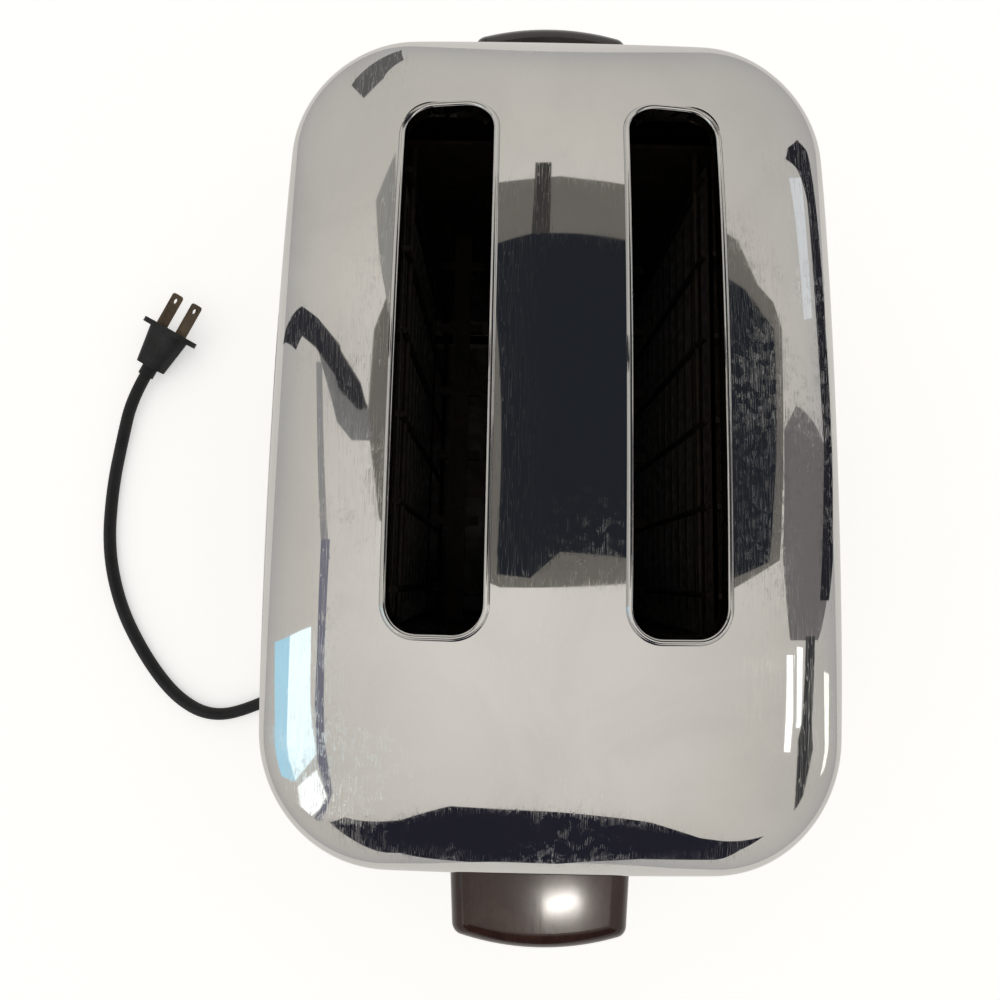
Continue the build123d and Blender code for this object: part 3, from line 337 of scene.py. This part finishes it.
def crown_mesh(outline, edge_s):
    """Places and triangles of the crown inside its outer ring, round the two slot openings."""
    flat = [Vector(p[:2]) for p in outline]
    edges = [(i, (i + 1) % len(outline)) for i in range(len(outline))]
    for centre in SLOT_CENTRES:
        start = len(flat)
        loop = slot_ring(centre, RIM_FOOT)
        flat.extend(Vector(p) for p in loop)
        edges.extend((start + i, start + (i + 1) % len(loop)) for i in range(len(loop)))
    last_i, last_j = int(HALF_WIDTH / CROWN_STEP), int(HALF_LENGTH / CROWN_STEP)
    for i in range(-last_i, last_i + 1):
        for j in range(-last_j, last_j + 1):
            x, y = (i + 0.5 * (j % 2)) * CROWN_STEP, j * CROWN_STEP
            clear_of_edge = inward_distance(x, y)[0] > edge_s + CROWN_MARGIN
            if clear_of_edge and not in_slot(x, y, RIM_FOOT + CROWN_MARGIN):
                flat.append(Vector((x, y)))
    found = delaunay_2d_cdt(flat, edges, [], 0, JOIN_TOLERANCE)
    spots = [(spot.x, spot.y) for spot in found[0]]
    triangles = []
    for triangle in found[2]:
        x = sum(spots[i][0] for i in triangle) / 3
        y = sum(spots[i][1] for i in triangle) / 3
        if inward_distance(x, y)[0] > edge_s and not in_slot(x, y, RIM_FOOT):
            triangles.append(triangle)
    return spots, triangles


def shell_skin():
    """Both faces of the drawn shell: flange, wall, shoulder and crown with its slot openings."""
    points, normals, faces = [], [], []
    count = len(STATIONS)

    def add_ring(grow, z, tilt):
        for (x, y), o in ring(grow):
            points.append((x, y, z))
            normals.append((o[0] * math.sin(tilt), o[1] * math.sin(tilt), math.cos(tilt)))

    foot = (SHOULDER_Z - BOTTOM_Z) * math.tan(DRAFT)
    add_ring(foot - FLANGE, BOTTOM_Z, math.pi)
    add_ring(foot - FOOT_EDGE_RADIUS, BOTTOM_Z, math.pi)
    add_ring(foot - FOOT_EDGE_INSET, BOTTOM_Z + FOOT_EDGE_RISE, FOOT_EDGE_TILT)
    wall_tilt = math.pi / 2 - DRAFT
    add_ring(foot, BOTTOM_Z + FOOT_EDGE_RADIUS, wall_tilt)
    lever_rows = []
    for z in WALL_LEVELS:
        if z == LEVER_SLOT_LOW:
            first_row = len(points) // count
        if z == LEVER_SLOT_HIGH:
            lever_rows = range(first_row, len(points) // count)
        add_ring((SHOULDER_Z - z) * math.tan(DRAFT), z, wall_tilt)
    spans = [wall_tilt + (BEND - wall_tilt) * i / LOWER_STEPS for i in range(LOWER_STEPS + 1)]
    inward = [LOWER_RADIUS * (1 - math.sin(t)) for t in spans]
    centre_s = inward[-1] + UPPER_RADIUS * math.sin(BEND)
    for i in range(1, UPPER_STEPS + 1):
        tilt = BEND + (RAMP - BEND) * i / UPPER_STEPS
        inward.append(centre_s - UPPER_RADIUS * math.sin(tilt))
    for s in inward:
        for (x, y), o in ring(-s):
            z, normal = top_at(x, y, s, o)
            points.append((x, y, z))
            normals.append(normal)
    rows = len(points) // count
    for row in range(rows - 1):
        for i in range(count):
            face = quad(row, i, count)
            this, following = points[face[0]], points[face[1]]
            in_front = this[1] < -HALF_LENGTH / 2
            in_middle = abs(this[0] + following[0]) / 2 < LEVER_SLOT_HALF_WIDTH
            if not (row in lever_rows and in_front and in_middle):
                faces.append(face)

    spots, triangles = crown_mesh(points[(rows - 1) * count:], inward[-1])
    start = len(points)
    for x, y in spots:
        z, normal = top_at(x, y)
        points.append((x, y, z))
        normals.append(normal)
    faces += [tuple(start + i for i in triangle) for triangle in triangles]

    # The inner face of the sheet, one wall thickness in
    size = len(points)
    points += [tuple(p[k] - WALL * n[k] for k in range(3)) for p, n in zip(points, normals)]
    normals += [tuple(-c for c in n) for n in normals]
    outer_faces = list(faces)
    faces += [tuple(size + i for i in reversed(face)) for face in outer_faces]
    skin = mesh_object("shell_skin", points, faces, normals)
    inside = [0] * len(outer_faces) + [1] * len(outer_faces)
    skin.data.polygons.foreach_set("material_index", inside)
    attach(skin, "housing")
    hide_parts("outer_shell")
    return skin


def slot_rim(name, centre):
    """Rolled rim of one slot: a bead that stands over the crown and turns down inside."""
    points = []
    for grow, height in RIM_SECTION:
        for x, y in slot_ring(centre, grow):
            points.append((x, y, top_at(x, y)[0] + height))
    for grow, height in RIM_FOLD:
        for x, y in slot_ring(centre, grow):
            points.append((x, y, RIM_BOTTOM_Z + height))
    count = len(slot_ring(centre, 0))
    rows = len(points) // count
    faces = [quad(row, i, count) for row in range(rows - 1) for i in range(count)]
    rim = mesh_object(name, points, faces)
    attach(rim, "housing")
    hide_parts("outer_shell")
    return rim


# Materials


class Finish:
    """A procedural material: small helpers round one shader."""

    def __init__(self, name, metallic=0.0, **sockets):
        self.material = bpy.data.materials.new(name)
        self.material.use_nodes = True
        self.tree = self.material.node_tree
        self.shader = self.tree.nodes["Principled BSDF"]
        self.shader.inputs["Metallic"].default_value = metallic
        for socket, value in sockets.items():
            self.shader.inputs[socket.replace("_", " ")].default_value = value
        self.coordinates = self.node("ShaderNodeTexCoord").outputs["Object"]
        self.height = None

    def node(self, kind, **settings):
        """A new node in the material's tree."""
        made = self.tree.nodes.new(kind)
        for key, value in settings.items():
            setattr(made, key, value)
        return made

    def link(self, a, b):
        self.tree.links.new(a, b)

    def mapped(self, scale=(1, 1, 1), turn=(0, 0, 0)):
        """The object's own coordinates, turned and scaled."""
        mapping = self.node("ShaderNodeMapping")
        mapping.inputs["Scale"].default_value = scale
        mapping.inputs["Rotation"].default_value = turn
        self.link(self.coordinates, mapping.inputs["Vector"])
        return mapping.outputs["Vector"]

    def noise(self, scale, detail=4.0, roughness=0.55, distortion=0.0, vector=None):
        """Noise from 0 to 1; scale counts its lumps to a metre."""
        made = self.node("ShaderNodeTexNoise")
        made.inputs["Scale"].default_value = scale
        made.inputs["Detail"].default_value = detail
        made.inputs["Roughness"].default_value = roughness
        made.inputs["Distortion"].default_value = distortion
        self.link(vector or self.coordinates, made.inputs["Vector"])
        return made.outputs["Fac"]

    def cells(self, scale):
        """Distance to the nearest of scattered points; scale counts them to a metre."""
        made = self.node("ShaderNodeTexVoronoi", feature="F1")
        made.inputs["Scale"].default_value = scale
        self.link(self.coordinates, made.inputs["Vector"])
        return made.outputs["Distance"]

    def span(self, value, low, high, to_low=0.0, to_high=1.0):
        """Takes values from low to high over to those from to_low to to_high."""
        made = self.node("ShaderNodeMapRange")
        limits = {"From Min": low, "From Max": high, "To Min": to_low, "To Max": to_high}
        for socket, number in limits.items():
            made.inputs[socket].default_value = number
        self.link(value, made.inputs["Value"])
        return made.outputs["Result"]

    def maths(self, operation, a, b):
        """One sum with two values, each a number or another node's output."""
        made = self.node("ShaderNodeMath", operation=operation)
        for socket, value in zip(made.inputs, (a, b)):
            if isinstance(value, (int, float)):
                socket.default_value = value
            else:
                self.link(value, socket)
        return made.outputs["Value"]

    def mix(self, factor, a, b):
        """Colour between a and b, each a colour or another node's output."""
        made = self.node("ShaderNodeMix", data_type="RGBA")
        self.link(factor, made.inputs["Factor"])
        for socket, value in ((made.inputs["A"], a), (made.inputs["B"], b)):
            if isinstance(value, tuple):
                socket.default_value = (*value, 1)
            else:
                self.link(value, socket)
        return made.outputs["Result"]

    def colour(self, value):
        self.link(value, self.shader.inputs["Base Color"])

    def rough(self, value):
        self.link(value, self.shader.inputs["Roughness"])

    def bump(self, value, distance, strength):
        """Adds relief of a height in metres on top of the relief so far."""
        made = self.node("ShaderNodeBump")
        made.inputs["Strength"].default_value = strength
        made.inputs["Distance"].default_value = distance
        self.link(value, made.inputs["Height"])
        if self.height is not None:
            self.link(self.height, made.inputs["Normal"])
        self.height = made.outputs["Normal"]
        self.link(self.height, self.shader.inputs["Normal"])

    def near(self, place, reach):
        """1 at a place on the object, in metres, falling to 0 at reach."""
        distance = self.node("ShaderNodeVectorMath", operation="DISTANCE")
        self.link(self.coordinates, distance.inputs[0])
        distance.inputs[1].default_value = place
        return self.span(distance.outputs["Value"], 0, reach, 1, 0)


# Chrome: roughness where clean, scratches (turn, scale), scuffed places and their reach in metres
CHROME_ROUGHNESS = (0.012, 0.045)
SCRATCH_ROUGHNESS = 0.2
SCRATCH_WIDTH = 0.008
SCRATCHES = ((0.4, 1500), (1.2, 1300), (2.1, 1700), (2.8, 1150))
SCUFFS = (
    ((0.0535, -0.004, 0.178), 0.036),
    ((0.010, -0.028, 0.183), 0.018),
    ((0.004, -0.099, 0.174), 0.022),
    ((-0.045, -0.088, 0.175), 0.022),
)


def scratch_lines(finish, turn, scale, width):
    """Thin lines across the surface at one angle, broken up along their length."""
    stretched = finish.mapped(scale=(scale, scale / 26, scale / 6), turn=(0, 0, turn))
    lines = finish.noise(1.0, detail=1.0, roughness=0.3, vector=stretched)
    ridge = finish.maths("ABSOLUTE", finish.maths("SUBTRACT", lines, 0.5), 0)
    return finish.span(ridge, 0, width, 1, 0)


def chrome():
    """Polished chrome plate with faint ripple, wiped smears, hairlines and clusters of scuffs."""
    finish = Finish("chrome_plate", metallic=1.0, IOR=1.5)
    smear = finish.noise(26, detail=5, roughness=0.6, distortion=0.6)
    tint = finish.mix(finish.span(smear, 0.35, 0.7), (0.80, 0.79, 0.775), (0.73, 0.722, 0.71))
    lines = scratch_lines(finish, *SCRATCHES[0], SCRATCH_WIDTH)
    for scratch in SCRATCHES[1:]:
        lines = finish.maths("MAXIMUM", lines, scratch_lines(finish, *scratch, SCRATCH_WIDTH))
    worn = finish.span(finish.noise(34, detail=3), 0.56, 0.86)
    for scuff in SCUFFS:
        worn = finish.maths("MAXIMUM", worn, finish.near(*scuff))
    lines = finish.maths("MULTIPLY", lines, worn)
    broken = finish.span(finish.noise(420, detail=2), 0.45, 0.6)
    lines = finish.maths("MULTIPLY", lines, broken)
    faint = finish.maths("MULTIPLY", scratch_lines(finish, 0.9, 2100, 0.006), 0.2)
    lines = finish.maths("MAXIMUM", lines, faint)
    finish.colour(finish.mix(lines, tint, (0.93, 0.92, 0.91)))
    base = finish.span(smear, 0.3, 0.75, *CHROME_ROUGHNESS)
    finish.rough(finish.maths("ADD", base, finish.maths("MULTIPLY", lines, SCRATCH_ROUGHNESS)))
    finish.bump(finish.noise(19, detail=1.0), 0.00022, 0.35)
    finish.bump(lines, 0.00002, 0.5)
    return finish.material


def moulded(name, dark, light, rough=(0.14, 0.3), coat=0.35, swirl=38, shine=0.5, gloss=0.1):
    """Moulded thermoset: marbled filler, buffed gloss, fine wiping lines and dulled patches."""
    finish = Finish(name, Coat_Weight=coat, Coat_Roughness=gloss, IOR=1.56,
                    Specular_IOR_Level=shine)
    marble = finish.noise(swirl, detail=8, roughness=0.62, distortion=1.6)
    finish.colour(finish.mix(finish.span(marble, 0.34, 0.66), dark, light))
    dull = finish.noise(90, detail=4)
    lines = scratch_lines(finish, 0.2, 800, 0.012)
    base = finish.span(dull, 0.3, 0.7, *rough)
    finish.rough(finish.maths("ADD", base, finish.maths("MULTIPLY", lines, 0.16)))
    finish.bump(finish.noise(1600, detail=2), 0.00002, 0.25)
    finish.bump(lines, 0.00001, 0.3)
    return finish.material


def sheet_metal(name, colour, other, rough, grain=240, stretch=(1, 1, 1)):
    """Plated or bare sheet: grain, tarnish and stains."""
    finish = Finish(name, metallic=1.0)
    stain = finish.noise(55, detail=6, roughness=0.65, distortion=0.8)
    finish.colour(finish.mix(finish.span(stain, 0.35, 0.7), colour, other))
    fine = finish.noise(grain, detail=3, vector=finish.mapped(scale=stretch))
    finish.rough(finish.span(fine, 0.3, 0.7, *rough))
    finish.bump(fine, 0.00003, 0.4)
    return finish.material


def rubber(name, dark, light, grain=900, rough=(0.5, 0.72), bump=0.00005):
    """Rubber or soft plastic: fine pebble, dust in the grain."""
    finish = Finish(name, IOR=1.45)
    pebble = finish.cells(grain)
    dust = finish.noise(70, detail=6, roughness=0.7)
    finish.colour(finish.mix(finish.span(dust, 0.4, 0.75), dark, light))
    finish.rough(finish.span(pebble, 0.0, 0.7, *rough))
    finish.bump(pebble, bump, 0.35)
    return finish.material


def mica():
    """Mica card: brown flakes in thin layers."""
    finish = Finish("mica_card", IOR=1.58, Sheen_Weight=0.1)
    flakes = finish.cells(260)
    layer = finish.noise(120, detail=7, roughness=0.7, distortion=1.2)
    pale = finish.mix(finish.span(layer, 0.3, 0.7), (0.020, 0.014, 0.009), (0.060, 0.040, 0.024))
    finish.colour(finish.mix(finish.span(flakes, 0.0, 0.6), pale, (0.036, 0.026, 0.016)))
    finish.rough(finish.span(flakes, 0, 0.7, 0.25, 0.55))
    finish.bump(flakes, 0.00006, 0.4)
    return finish.material


def burnt_and_shaded(name, grain=420):
    """Steel blackened by years of heat, with a little rust brown, made darker still as painted
    shade in the wells under the slots.
    """
    finish = Finish(name, metallic=0.6)
    scale = finish.noise(150, detail=7, roughness=0.7, distortion=0.7)
    rust = finish.span(scale, 0.35, 0.72)
    finish.colour(finish.mix(rust, (0.014, 0.013, 0.012), (0.045, 0.030, 0.021)))
    fine = finish.noise(grain, detail=3)
    finish.rough(finish.span(fine, 0.3, 0.7, 0.42, 0.7))
    finish.bump(fine, 0.00004, 0.4)
    return finish.material


def make_finishes():
    """A material for each of the record's slots, and two for metal blackened by heat and darkened
    further as painted shade.
    """
    return {
        "chrome_shell": chrome(),
        "base_bakelite": moulded("base_bakelite", (0.010, 0.008, 0.007), (0.022, 0.016, 0.013)),
        "handle_bakelite": moulded("handle_bakelite", (0.009, 0.0075, 0.007),
                                   (0.020, 0.014, 0.012)),
        "lever_bakelite": moulded("lever_bakelite", (0.026, 0.011, 0.009), (0.056, 0.028, 0.023),
                                  rough=(0.13, 0.2), coat=0.5, shine=0.18, gloss=0.085),
        "knob_bakelite": moulded("knob_bakelite", (0.024, 0.012, 0.010), (0.055, 0.030, 0.025),
                                 swirl=70),
        "foot_rubber": rubber("foot_rubber", (0.014, 0.014, 0.015), (0.05, 0.048, 0.045)),
        "bumper_rubber": rubber("bumper_rubber", (0.012, 0.012, 0.012), (0.035, 0.033, 0.03)),
        "cord_rubber": rubber("cord_rubber", (0.008, 0.008, 0.010), (0.022, 0.022, 0.025),
                              grain=1500, rough=(0.38, 0.55)),
        "plug_rubber": rubber("plug_rubber", (0.009, 0.010, 0.012), (0.026, 0.028, 0.031),
                              grain=1300, rough=(0.4, 0.6)),
        "zinc_steel": sheet_metal("zinc_steel", (0.52, 0.52, 0.50), (0.36, 0.34, 0.31),
                                  rough=(0.3, 0.5)),
        "rod_steel": sheet_metal("rod_steel", (0.55, 0.54, 0.52), (0.42, 0.40, 0.38),
                                 rough=(0.15, 0.3), stretch=(1, 1, 12)),
        "spring_steel": sheet_metal("spring_steel", (0.40, 0.39, 0.38), (0.26, 0.25, 0.24),
                                    rough=(0.22, 0.4)),
        "screw_steel": sheet_metal("screw_steel", (0.56, 0.55, 0.52), (0.40, 0.37, 0.33),
                                   rough=(0.22, 0.42)),
        "reflector_sheet": sheet_metal("reflector_sheet", (0.50, 0.48, 0.44), (0.34, 0.28, 0.20),
                                       rough=(0.18, 0.4)),
        "tray_sheet": sheet_metal("tray_sheet", (0.48, 0.46, 0.42), (0.26, 0.20, 0.14),
                                  rough=(0.28, 0.5)),
        "wire_cloth": sheet_metal("wire_steel", (0.30, 0.27, 0.24), (0.12, 0.10, 0.09),
                                  rough=(0.35, 0.6), grain=700),
        "guard_wire": sheet_metal("guard_wire", (0.34, 0.31, 0.28), (0.16, 0.12, 0.10),
                                  rough=(0.3, 0.55), grain=600),
        "nichrome": sheet_metal("nichrome", (0.20, 0.17, 0.15), (0.10, 0.085, 0.08),
                                rough=(0.35, 0.6), grain=500),
        "nickel_strip": sheet_metal("nickel_strip", (0.58, 0.54, 0.47), (0.42, 0.37, 0.30),
                                    rough=(0.22, 0.4)),
        "bimetal": sheet_metal("bimetal", (0.60, 0.50, 0.36), (0.42, 0.36, 0.28),
                               rough=(0.25, 0.42)),
        "brass_part": sheet_metal("brass_part", (0.62, 0.46, 0.20), (0.38, 0.26, 0.12),
                                  rough=(0.25, 0.45)),
        "blade_brass": sheet_metal("blade_brass", (0.17, 0.125, 0.085), (0.085, 0.068, 0.050),
                                   rough=(0.32, 0.55), grain=420),
        # Heat-blackened steel, made darker still as painted shade for the wells under the slots
        "burnt_and_shaded": burnt_and_shaded("burnt_and_shaded_sheet"),
        "burnt_and_shaded_wire": burnt_and_shaded("burnt_and_shaded_wire", grain=900),
        "mica": mica(),
        "ceramic": rubber("ceramic", (0.62, 0.59, 0.53), (0.48, 0.44, 0.38),
                          grain=700, rough=(0.3, 0.5), bump=0.00002),
    }


# Pieces near the heaters, down in the wells under the slots, that wear a burnt finish in place of
# their slot's own: real heat blackening and painted shade.
HEATED_AND_SHADED = {
    "front_frame_plate": "burnt_and_shaded",
    "rear_frame_plate": "burnt_and_shaded",
    "side_reflector_left": "burnt_and_shaded",
    "side_reflector_right": "burnt_and_shaded",
    "bread_rack_left": "burnt_and_shaded_wire",
    "bread_rack_right": "burnt_and_shaded_wire",
    "bread_guard_left_outer": "burnt_and_shaded_wire",
    "bread_guard_left_inner": "burnt_and_shaded_wire",
    "bread_guard_right_outer": "burnt_and_shaded_wire",
    "bread_guard_right_inner": "burnt_and_shaded_wire",
}


def dress(finishes):
    """Gives each CAD node the finish of its slot in the record, or near the heaters a burnt one
    that is also painted shade.
    """
    for part in frame["record"]["subparts"]:
        node = nodes[part["node"]]
        finish = finishes[HEATED_AND_SHADED.get(part["node"], part["material_slot"])]
        if not node.material_slots:
            node.data.materials.append(finish)
        for entry in node.material_slots:
            entry.material = finish


# Studio: table, room light, cards round the object and one lamp

# Cards that the chrome mirrors: name, distance, colour, strength, outline as azimuth and elevation
CARDS = [
    ("dark_overhead", 1.0, (0.017, 0.02, 0.026), 1.0, [
        (-132.6, 77.8), (110.1, 59.2), (103.8, 52.1), (93.1, 51.9), (77.6, 50.9), (60.2, 47.1),
        (43.5, 40.9), (34.4, 36.4), (27.1, 34.3), (11.5, 38.1), (-4.7, 39.6), (-8.4, 45.4),
        (-12.0, 53.8), (-14.6, 65.4), (-21.7, 75.1), (-47.3, 82.3), (-97.1, 80.6),
    ]),
    ("grey_overhead", 2.4, (0.17, 0.16, 0.145), 1.0, [
        (178.0, 55.4), (160.0, 50.9), (145.8, 47.3), (133.0, 45.7), (116.6, 45.1),
        (100.3, 45.5), (84.7, 44.0), (69.6, 43.3), (51.5, 39.1), (41.0, 35.0), (33.7, 35.2),
        (26.0, 32.0), (-3.0, 39.0), (-8.6, 46.3), (-127.2, 78.1), (-170.8, 62.9),
    ]),
    ("grey_bar_overhead", 1.1, (0.05, 0.048, 0.045), 1.0, [
        (90.5, 40.8), (87.0, 40.6), (86.7, 52.3), (92.5, 52.3),
    ]),
    ("dark_right", 1.2, (0.02, 0.02, 0.026), 1.0, [
        (44.9, 18.1), (45.7, 16.7), (45.3, 14.1), (41.8, 10.8), (33.7, 5.5), (22.9, -2.1),
        (9.3, -8.4), (-1.1, -1.0), (-5.5, 7.4), (-6.5, 16.8), (-1.8, 13.3), (9.2, 5.6),
        (24.0, 9.6), (35.7, 12.3), (42.1, 16.1),
    ]),
    ("grey_right", 1.5, (0.17, 0.16, 0.16), 1.0, [
        (13.9, 35.1), (15.7, 27.8), (12.8, 17.2), (9.3, 2.9), (-5.3, 10.0), (-11.1, 19.8),
        (-14.5, 33.0), (-3.4, 37.2),
    ]),
    ("pale_panel_right", 1.12, (0.74, 0.77, 0.8), 1.0, [
        (42.2, 18.7), (39.8, 14.6), (22.7, 13.0), (23.7, 19.3),
    ]),
    ("dark_lower_right", 1.18, (0.05, 0.05, 0.052), 1.0, [
        (-12.7, 26.5), (-11.5, 21.5), (-23.6, 23.9), (-33.3, 22.7), (-35.8, 23.3),
        (-28.1, 26.9),
    ]),
    ("tube_right_one", 1.1, (1.0, 0.99, 0.95), 1.9, [
        (-17.6, 33.1), (-17.0, 31.2), (-30.3, 27.6), (-30.9, 28.8),
    ]),
    ("tube_right_two", 1.1, (0.96, 1.0, 0.98), 1.7, [
        (-15.3, 30.0), (-14.8, 27.7), (-26.7, 26.9), (-27.1, 27.8),
    ]),
    ("tube_right_three", 1.1, (1.0, 0.99, 0.9), 1.5, [
        (-14.7, 15.9), (-14.0, 11.3), (-28.2, 16.5), (-29.6, 18.4),
    ]),
    ("window_blue", 1.15, (0.42, 0.7, 0.86), 1.15, [
        (-167.7, 15.1), (-165.6, 27.6), (-143.0, 28.4), (-145.4, 22.4), (-155.7, 21.4),
    ]),
    ("window_white", 1.16, (0.8, 0.96, 1.0), 1.45, [
        (-165.7, 27.0), (-163.8, 37.6), (-143.4, 33.9), (-143.0, 28.2),
    ]),
    ("window_low", 1.15, (0.95, 1.0, 1.0), 1.6, [
        (-142.1, 28.7), (-141.7, 32.9), (-137.6, 32.8), (-136.1, 25.2), (-139.0, 24.3),
    ]),
    ("window_frame", 1.12, (0.2, 0.2, 0.25), 1.0, [
        (-177.3, 41.4), (-177.1, 45.4), (-159.7, 41.8), (-144.0, 36.1), (-137.1, 34.0),
        (-133.9, 25.7), (-135.4, 25.2), (-137.6, 32.8), (-142.3, 33.5), (-159.0, 39.1),
    ]),
    ("curtain_left", 1.2, (0.03, 0.03, 0.036), 1.0, [
        (161.4, -5.1), (158.5, 7.3), (155.1, 19.0), (153.1, 30.3), (151.8, 42.1), (155.3, 47.6),
        (158.7, 49.7), (159.7, 48.5), (156.8, 41.9), (156.9, 30.9), (158.1, 20.8),
        (160.5, 16.0),
    ]),
    ("curtain_soft_left", 1.4, (0.2, 0.2, 0.2), 1.0, [
        (156.7, 32.4), (154.9, 44.9), (158.0, 49.8), (163.6, 51.8), (164.8, 48.7),
        (160.6, 42.2),
    ]),
    ("shade_top_left", 1.3, (0.12, 0.12, 0.12), 1.0, [
        (122.9, 19.4), (117.4, 14.9), (106.0, 4.4), (109.7, 16.9), (118.0, 22.8), (122.1, 22.4),
    ]),
    ("shade_slot_left", 1.5, (0.3, 0.295, 0.28), 1.0, [
        (129.3, 36.1), (120.8, 32.4), (131.7, 44.0), (143.7, 49.3), (135.9, 42.5),
    ]),
    ("curtain_rail_left", 1.2, (0.3, 0.3, 0.3), 1.0, [
        (158.5, 31.8), (157.5, 35.0), (-173.7, 45.5), (-174.1, 42.2),
    ]),
    ("dark_front", 1.2, (0.018, 0.018, 0.028), 1.0, [
        (-133.1, 29.3), (-132.7, 33.9), (-116.9, 39.1), (-106.6, 45.7), (-82.7, 44.3),
        (-66.8, 38.7), (-59.9, 31.0), (-43.4, 24.2), (-53.4, 22.2), (-77.5, 8.2), (-85.3, -3.9),
        (-93.0, -2.6), (-103.9, 16.3), (-124.4, 26.6),
    ]),
]
CARD_CENTRE = (0.0, 0.0, 0.17)
# Table: half its side in metres, its own glow to the camera and the share of it in reflections
TABLE_HALF = 3.0
TABLE_COLOUR = (0.80, 0.80, 0.80, 1)
TABLE_GLOW = 0.50
TABLE_GLOW_MIRRORED = 0.3
# Room light from the horizon up: place on the ramp and colour
ROOM_LIGHT = (
    (0.0, (0.54, 0.535, 0.53, 1)),
    (0.6, (0.74, 0.71, 0.655, 1)),
    (0.9, (0.91, 0.875, 0.825, 1)),
)
ROOM_STRENGTH = 0.85
# Lamp for the highlight on the knob, in metres
LAMP_SIZE = (0.052, 0.02)
LAMP_ENERGY = 0.34
LAMP_COLOUR = (1.0, 0.95, 0.88)
LAMP_PLACE = (0.0906, -0.5198, 1.0)
LAMP_AIM = (0.0, -0.13, 0.13)


def card(name, distance, colour, strength, outline):
    """A plain card at one distance from the object, seen by the gloss alone."""
    corners = []
    for azimuth, elevation in outline:
        a, e = math.radians(azimuth), math.radians(elevation)
        ray = Vector((math.cos(a) * math.cos(e), math.sin(a) * math.cos(e), math.sin(e)))
        corners.append(Vector(CARD_CENTRE) + ray * distance)
    mesh = bpy.data.meshes.new(name)
    mesh.from_pydata(corners, [], [tuple(range(len(corners)))])
    piece = add_object(name, mesh)
    material = bpy.data.materials.new(name)
    material.use_nodes = True
    tree = material.node_tree
    tree.nodes.clear()
    glow = tree.nodes.new("ShaderNodeEmission")
    glow.inputs["Color"].default_value = (*colour, 1)
    glow.inputs["Strength"].default_value = strength
    out = tree.nodes.new("ShaderNodeOutputMaterial")
    tree.links.new(glow.outputs[0], out.inputs["Surface"])
    mesh.materials.append(material)
    piece.visible_camera = False
    piece.visible_diffuse = False
    piece.visible_shadow = False


def make_floor():
    """White matt table with a glow of its own for the camera, weaker in reflections."""
    corners = [(TABLE_HALF * x, TABLE_HALF * y, 0) for x, y in ((-1, -1), (1, -1), (1, 1), (-1, 1))]
    mesh = bpy.data.meshes.new("table")
    mesh.from_pydata(corners, [], [(0, 1, 2, 3)])
    table = add_object("table", mesh)
    material = bpy.data.materials.new("table_white")
    material.use_nodes = True
    tree = material.node_tree
    shader = tree.nodes["Principled BSDF"]
    shader.inputs["Base Color"].default_value = TABLE_COLOUR
    shader.inputs["Roughness"].default_value = 0.8
    shader.inputs["Specular IOR Level"].default_value = 0.1
    path = tree.nodes.new("ShaderNodeLightPath")
    glow = tree.nodes.new("ShaderNodeEmission")
    scaled = tree.nodes.new("ShaderNodeMath")
    scaled.operation = "MULTIPLY"
    scaled.inputs[1].default_value = TABLE_GLOW
    seen = tree.nodes.new("ShaderNodeMath")
    seen.operation = "MULTIPLY_ADD"
    tree.links.new(path.outputs["Is Glossy Ray"], seen.inputs[0])
    seen.inputs[1].default_value = TABLE_GLOW_MIRRORED
    tree.links.new(path.outputs["Is Camera Ray"], seen.inputs[2])
    tree.links.new(seen.outputs[0], scaled.inputs[0])
    tree.links.new(scaled.outputs[0], glow.inputs["Strength"])
    add = tree.nodes.new("ShaderNodeAddShader")
    tree.links.new(shader.outputs[0], add.inputs[0])
    tree.links.new(glow.outputs[0], add.inputs[1])
    tree.links.new(add.outputs[0], tree.nodes["Material Output"].inputs["Surface"])
    mesh.materials.append(material)


def make_world():
    """Soft room light, a little warmer and brighter above."""
    world = bpy.data.worlds.new("room")
    world.use_nodes = True
    tree = world.node_tree
    background = tree.nodes["Background"]
    coordinates = tree.nodes.new("ShaderNodeTexCoord")
    split = tree.nodes.new("ShaderNodeSeparateXYZ")
    tree.links.new(coordinates.outputs["Generated"], split.inputs[0])
    ramp = tree.nodes.new("ShaderNodeValToRGB")
    # The ramp starts with a stop at each end, so the middle one is added
    stops = ramp.color_ramp.elements
    stops.new(ROOM_LIGHT[1][0])
    for stop, (place, colour) in zip(stops, ROOM_LIGHT):
        stop.position = place
        stop.color = colour
    tree.links.new(split.outputs["Z"], ramp.inputs["Fac"])
    tree.links.new(ramp.outputs["Color"], background.inputs["Color"])
    background.inputs["Strength"].default_value = ROOM_STRENGTH
    bpy.context.scene.world = world


def make_studio(knob):
    """Table, room, cards and one small lamp for the knob's highlight."""
    make_floor()
    make_world()
    for entry in CARDS:
        card(*entry)
    lamp = bpy.data.lights.new("key", "AREA")
    lamp.shape = "RECTANGLE"
    lamp.size, lamp.size_y = LAMP_SIZE
    lamp.energy = LAMP_ENERGY
    lamp.color = LAMP_COLOUR
    key = add_object("key", lamp)
    aim = Vector(LAMP_AIM) - Vector(LAMP_PLACE)
    turn = aim.to_track_quat("-Z", "Y").to_matrix().to_4x4()
    key.matrix_world = Matrix.Translation(LAMP_PLACE) @ turn
    lit = bpy.data.collections.new("lit_by_key")
    lit.objects.link(knob)
    key.light_linking.receiver_collection = lit


make_camera()
cord = make_cord()
skin = shell_skin()
rims = [slot_rim("slot_rim_left", SLOT_CENTRES[0]), slot_rim("slot_rim_right", SLOT_CENTRES[1])]
finishes = make_finishes()
dress(finishes)
cord.data.materials.append(finishes["cord_rubber"])
for piece in (skin, *rims):
    piece.data.materials.append(finishes["chrome_shell"])
# The shell's inner face wears the burnt finish: heat blackening and painted shade inside the shell
skin.data.materials.append(finishes["burnt_and_shaded"])
make_studio(nodes["lever_knob"])
bpy.context.view_layer.update()
bpy.context.scene.view_settings.view_transform = "Standard"
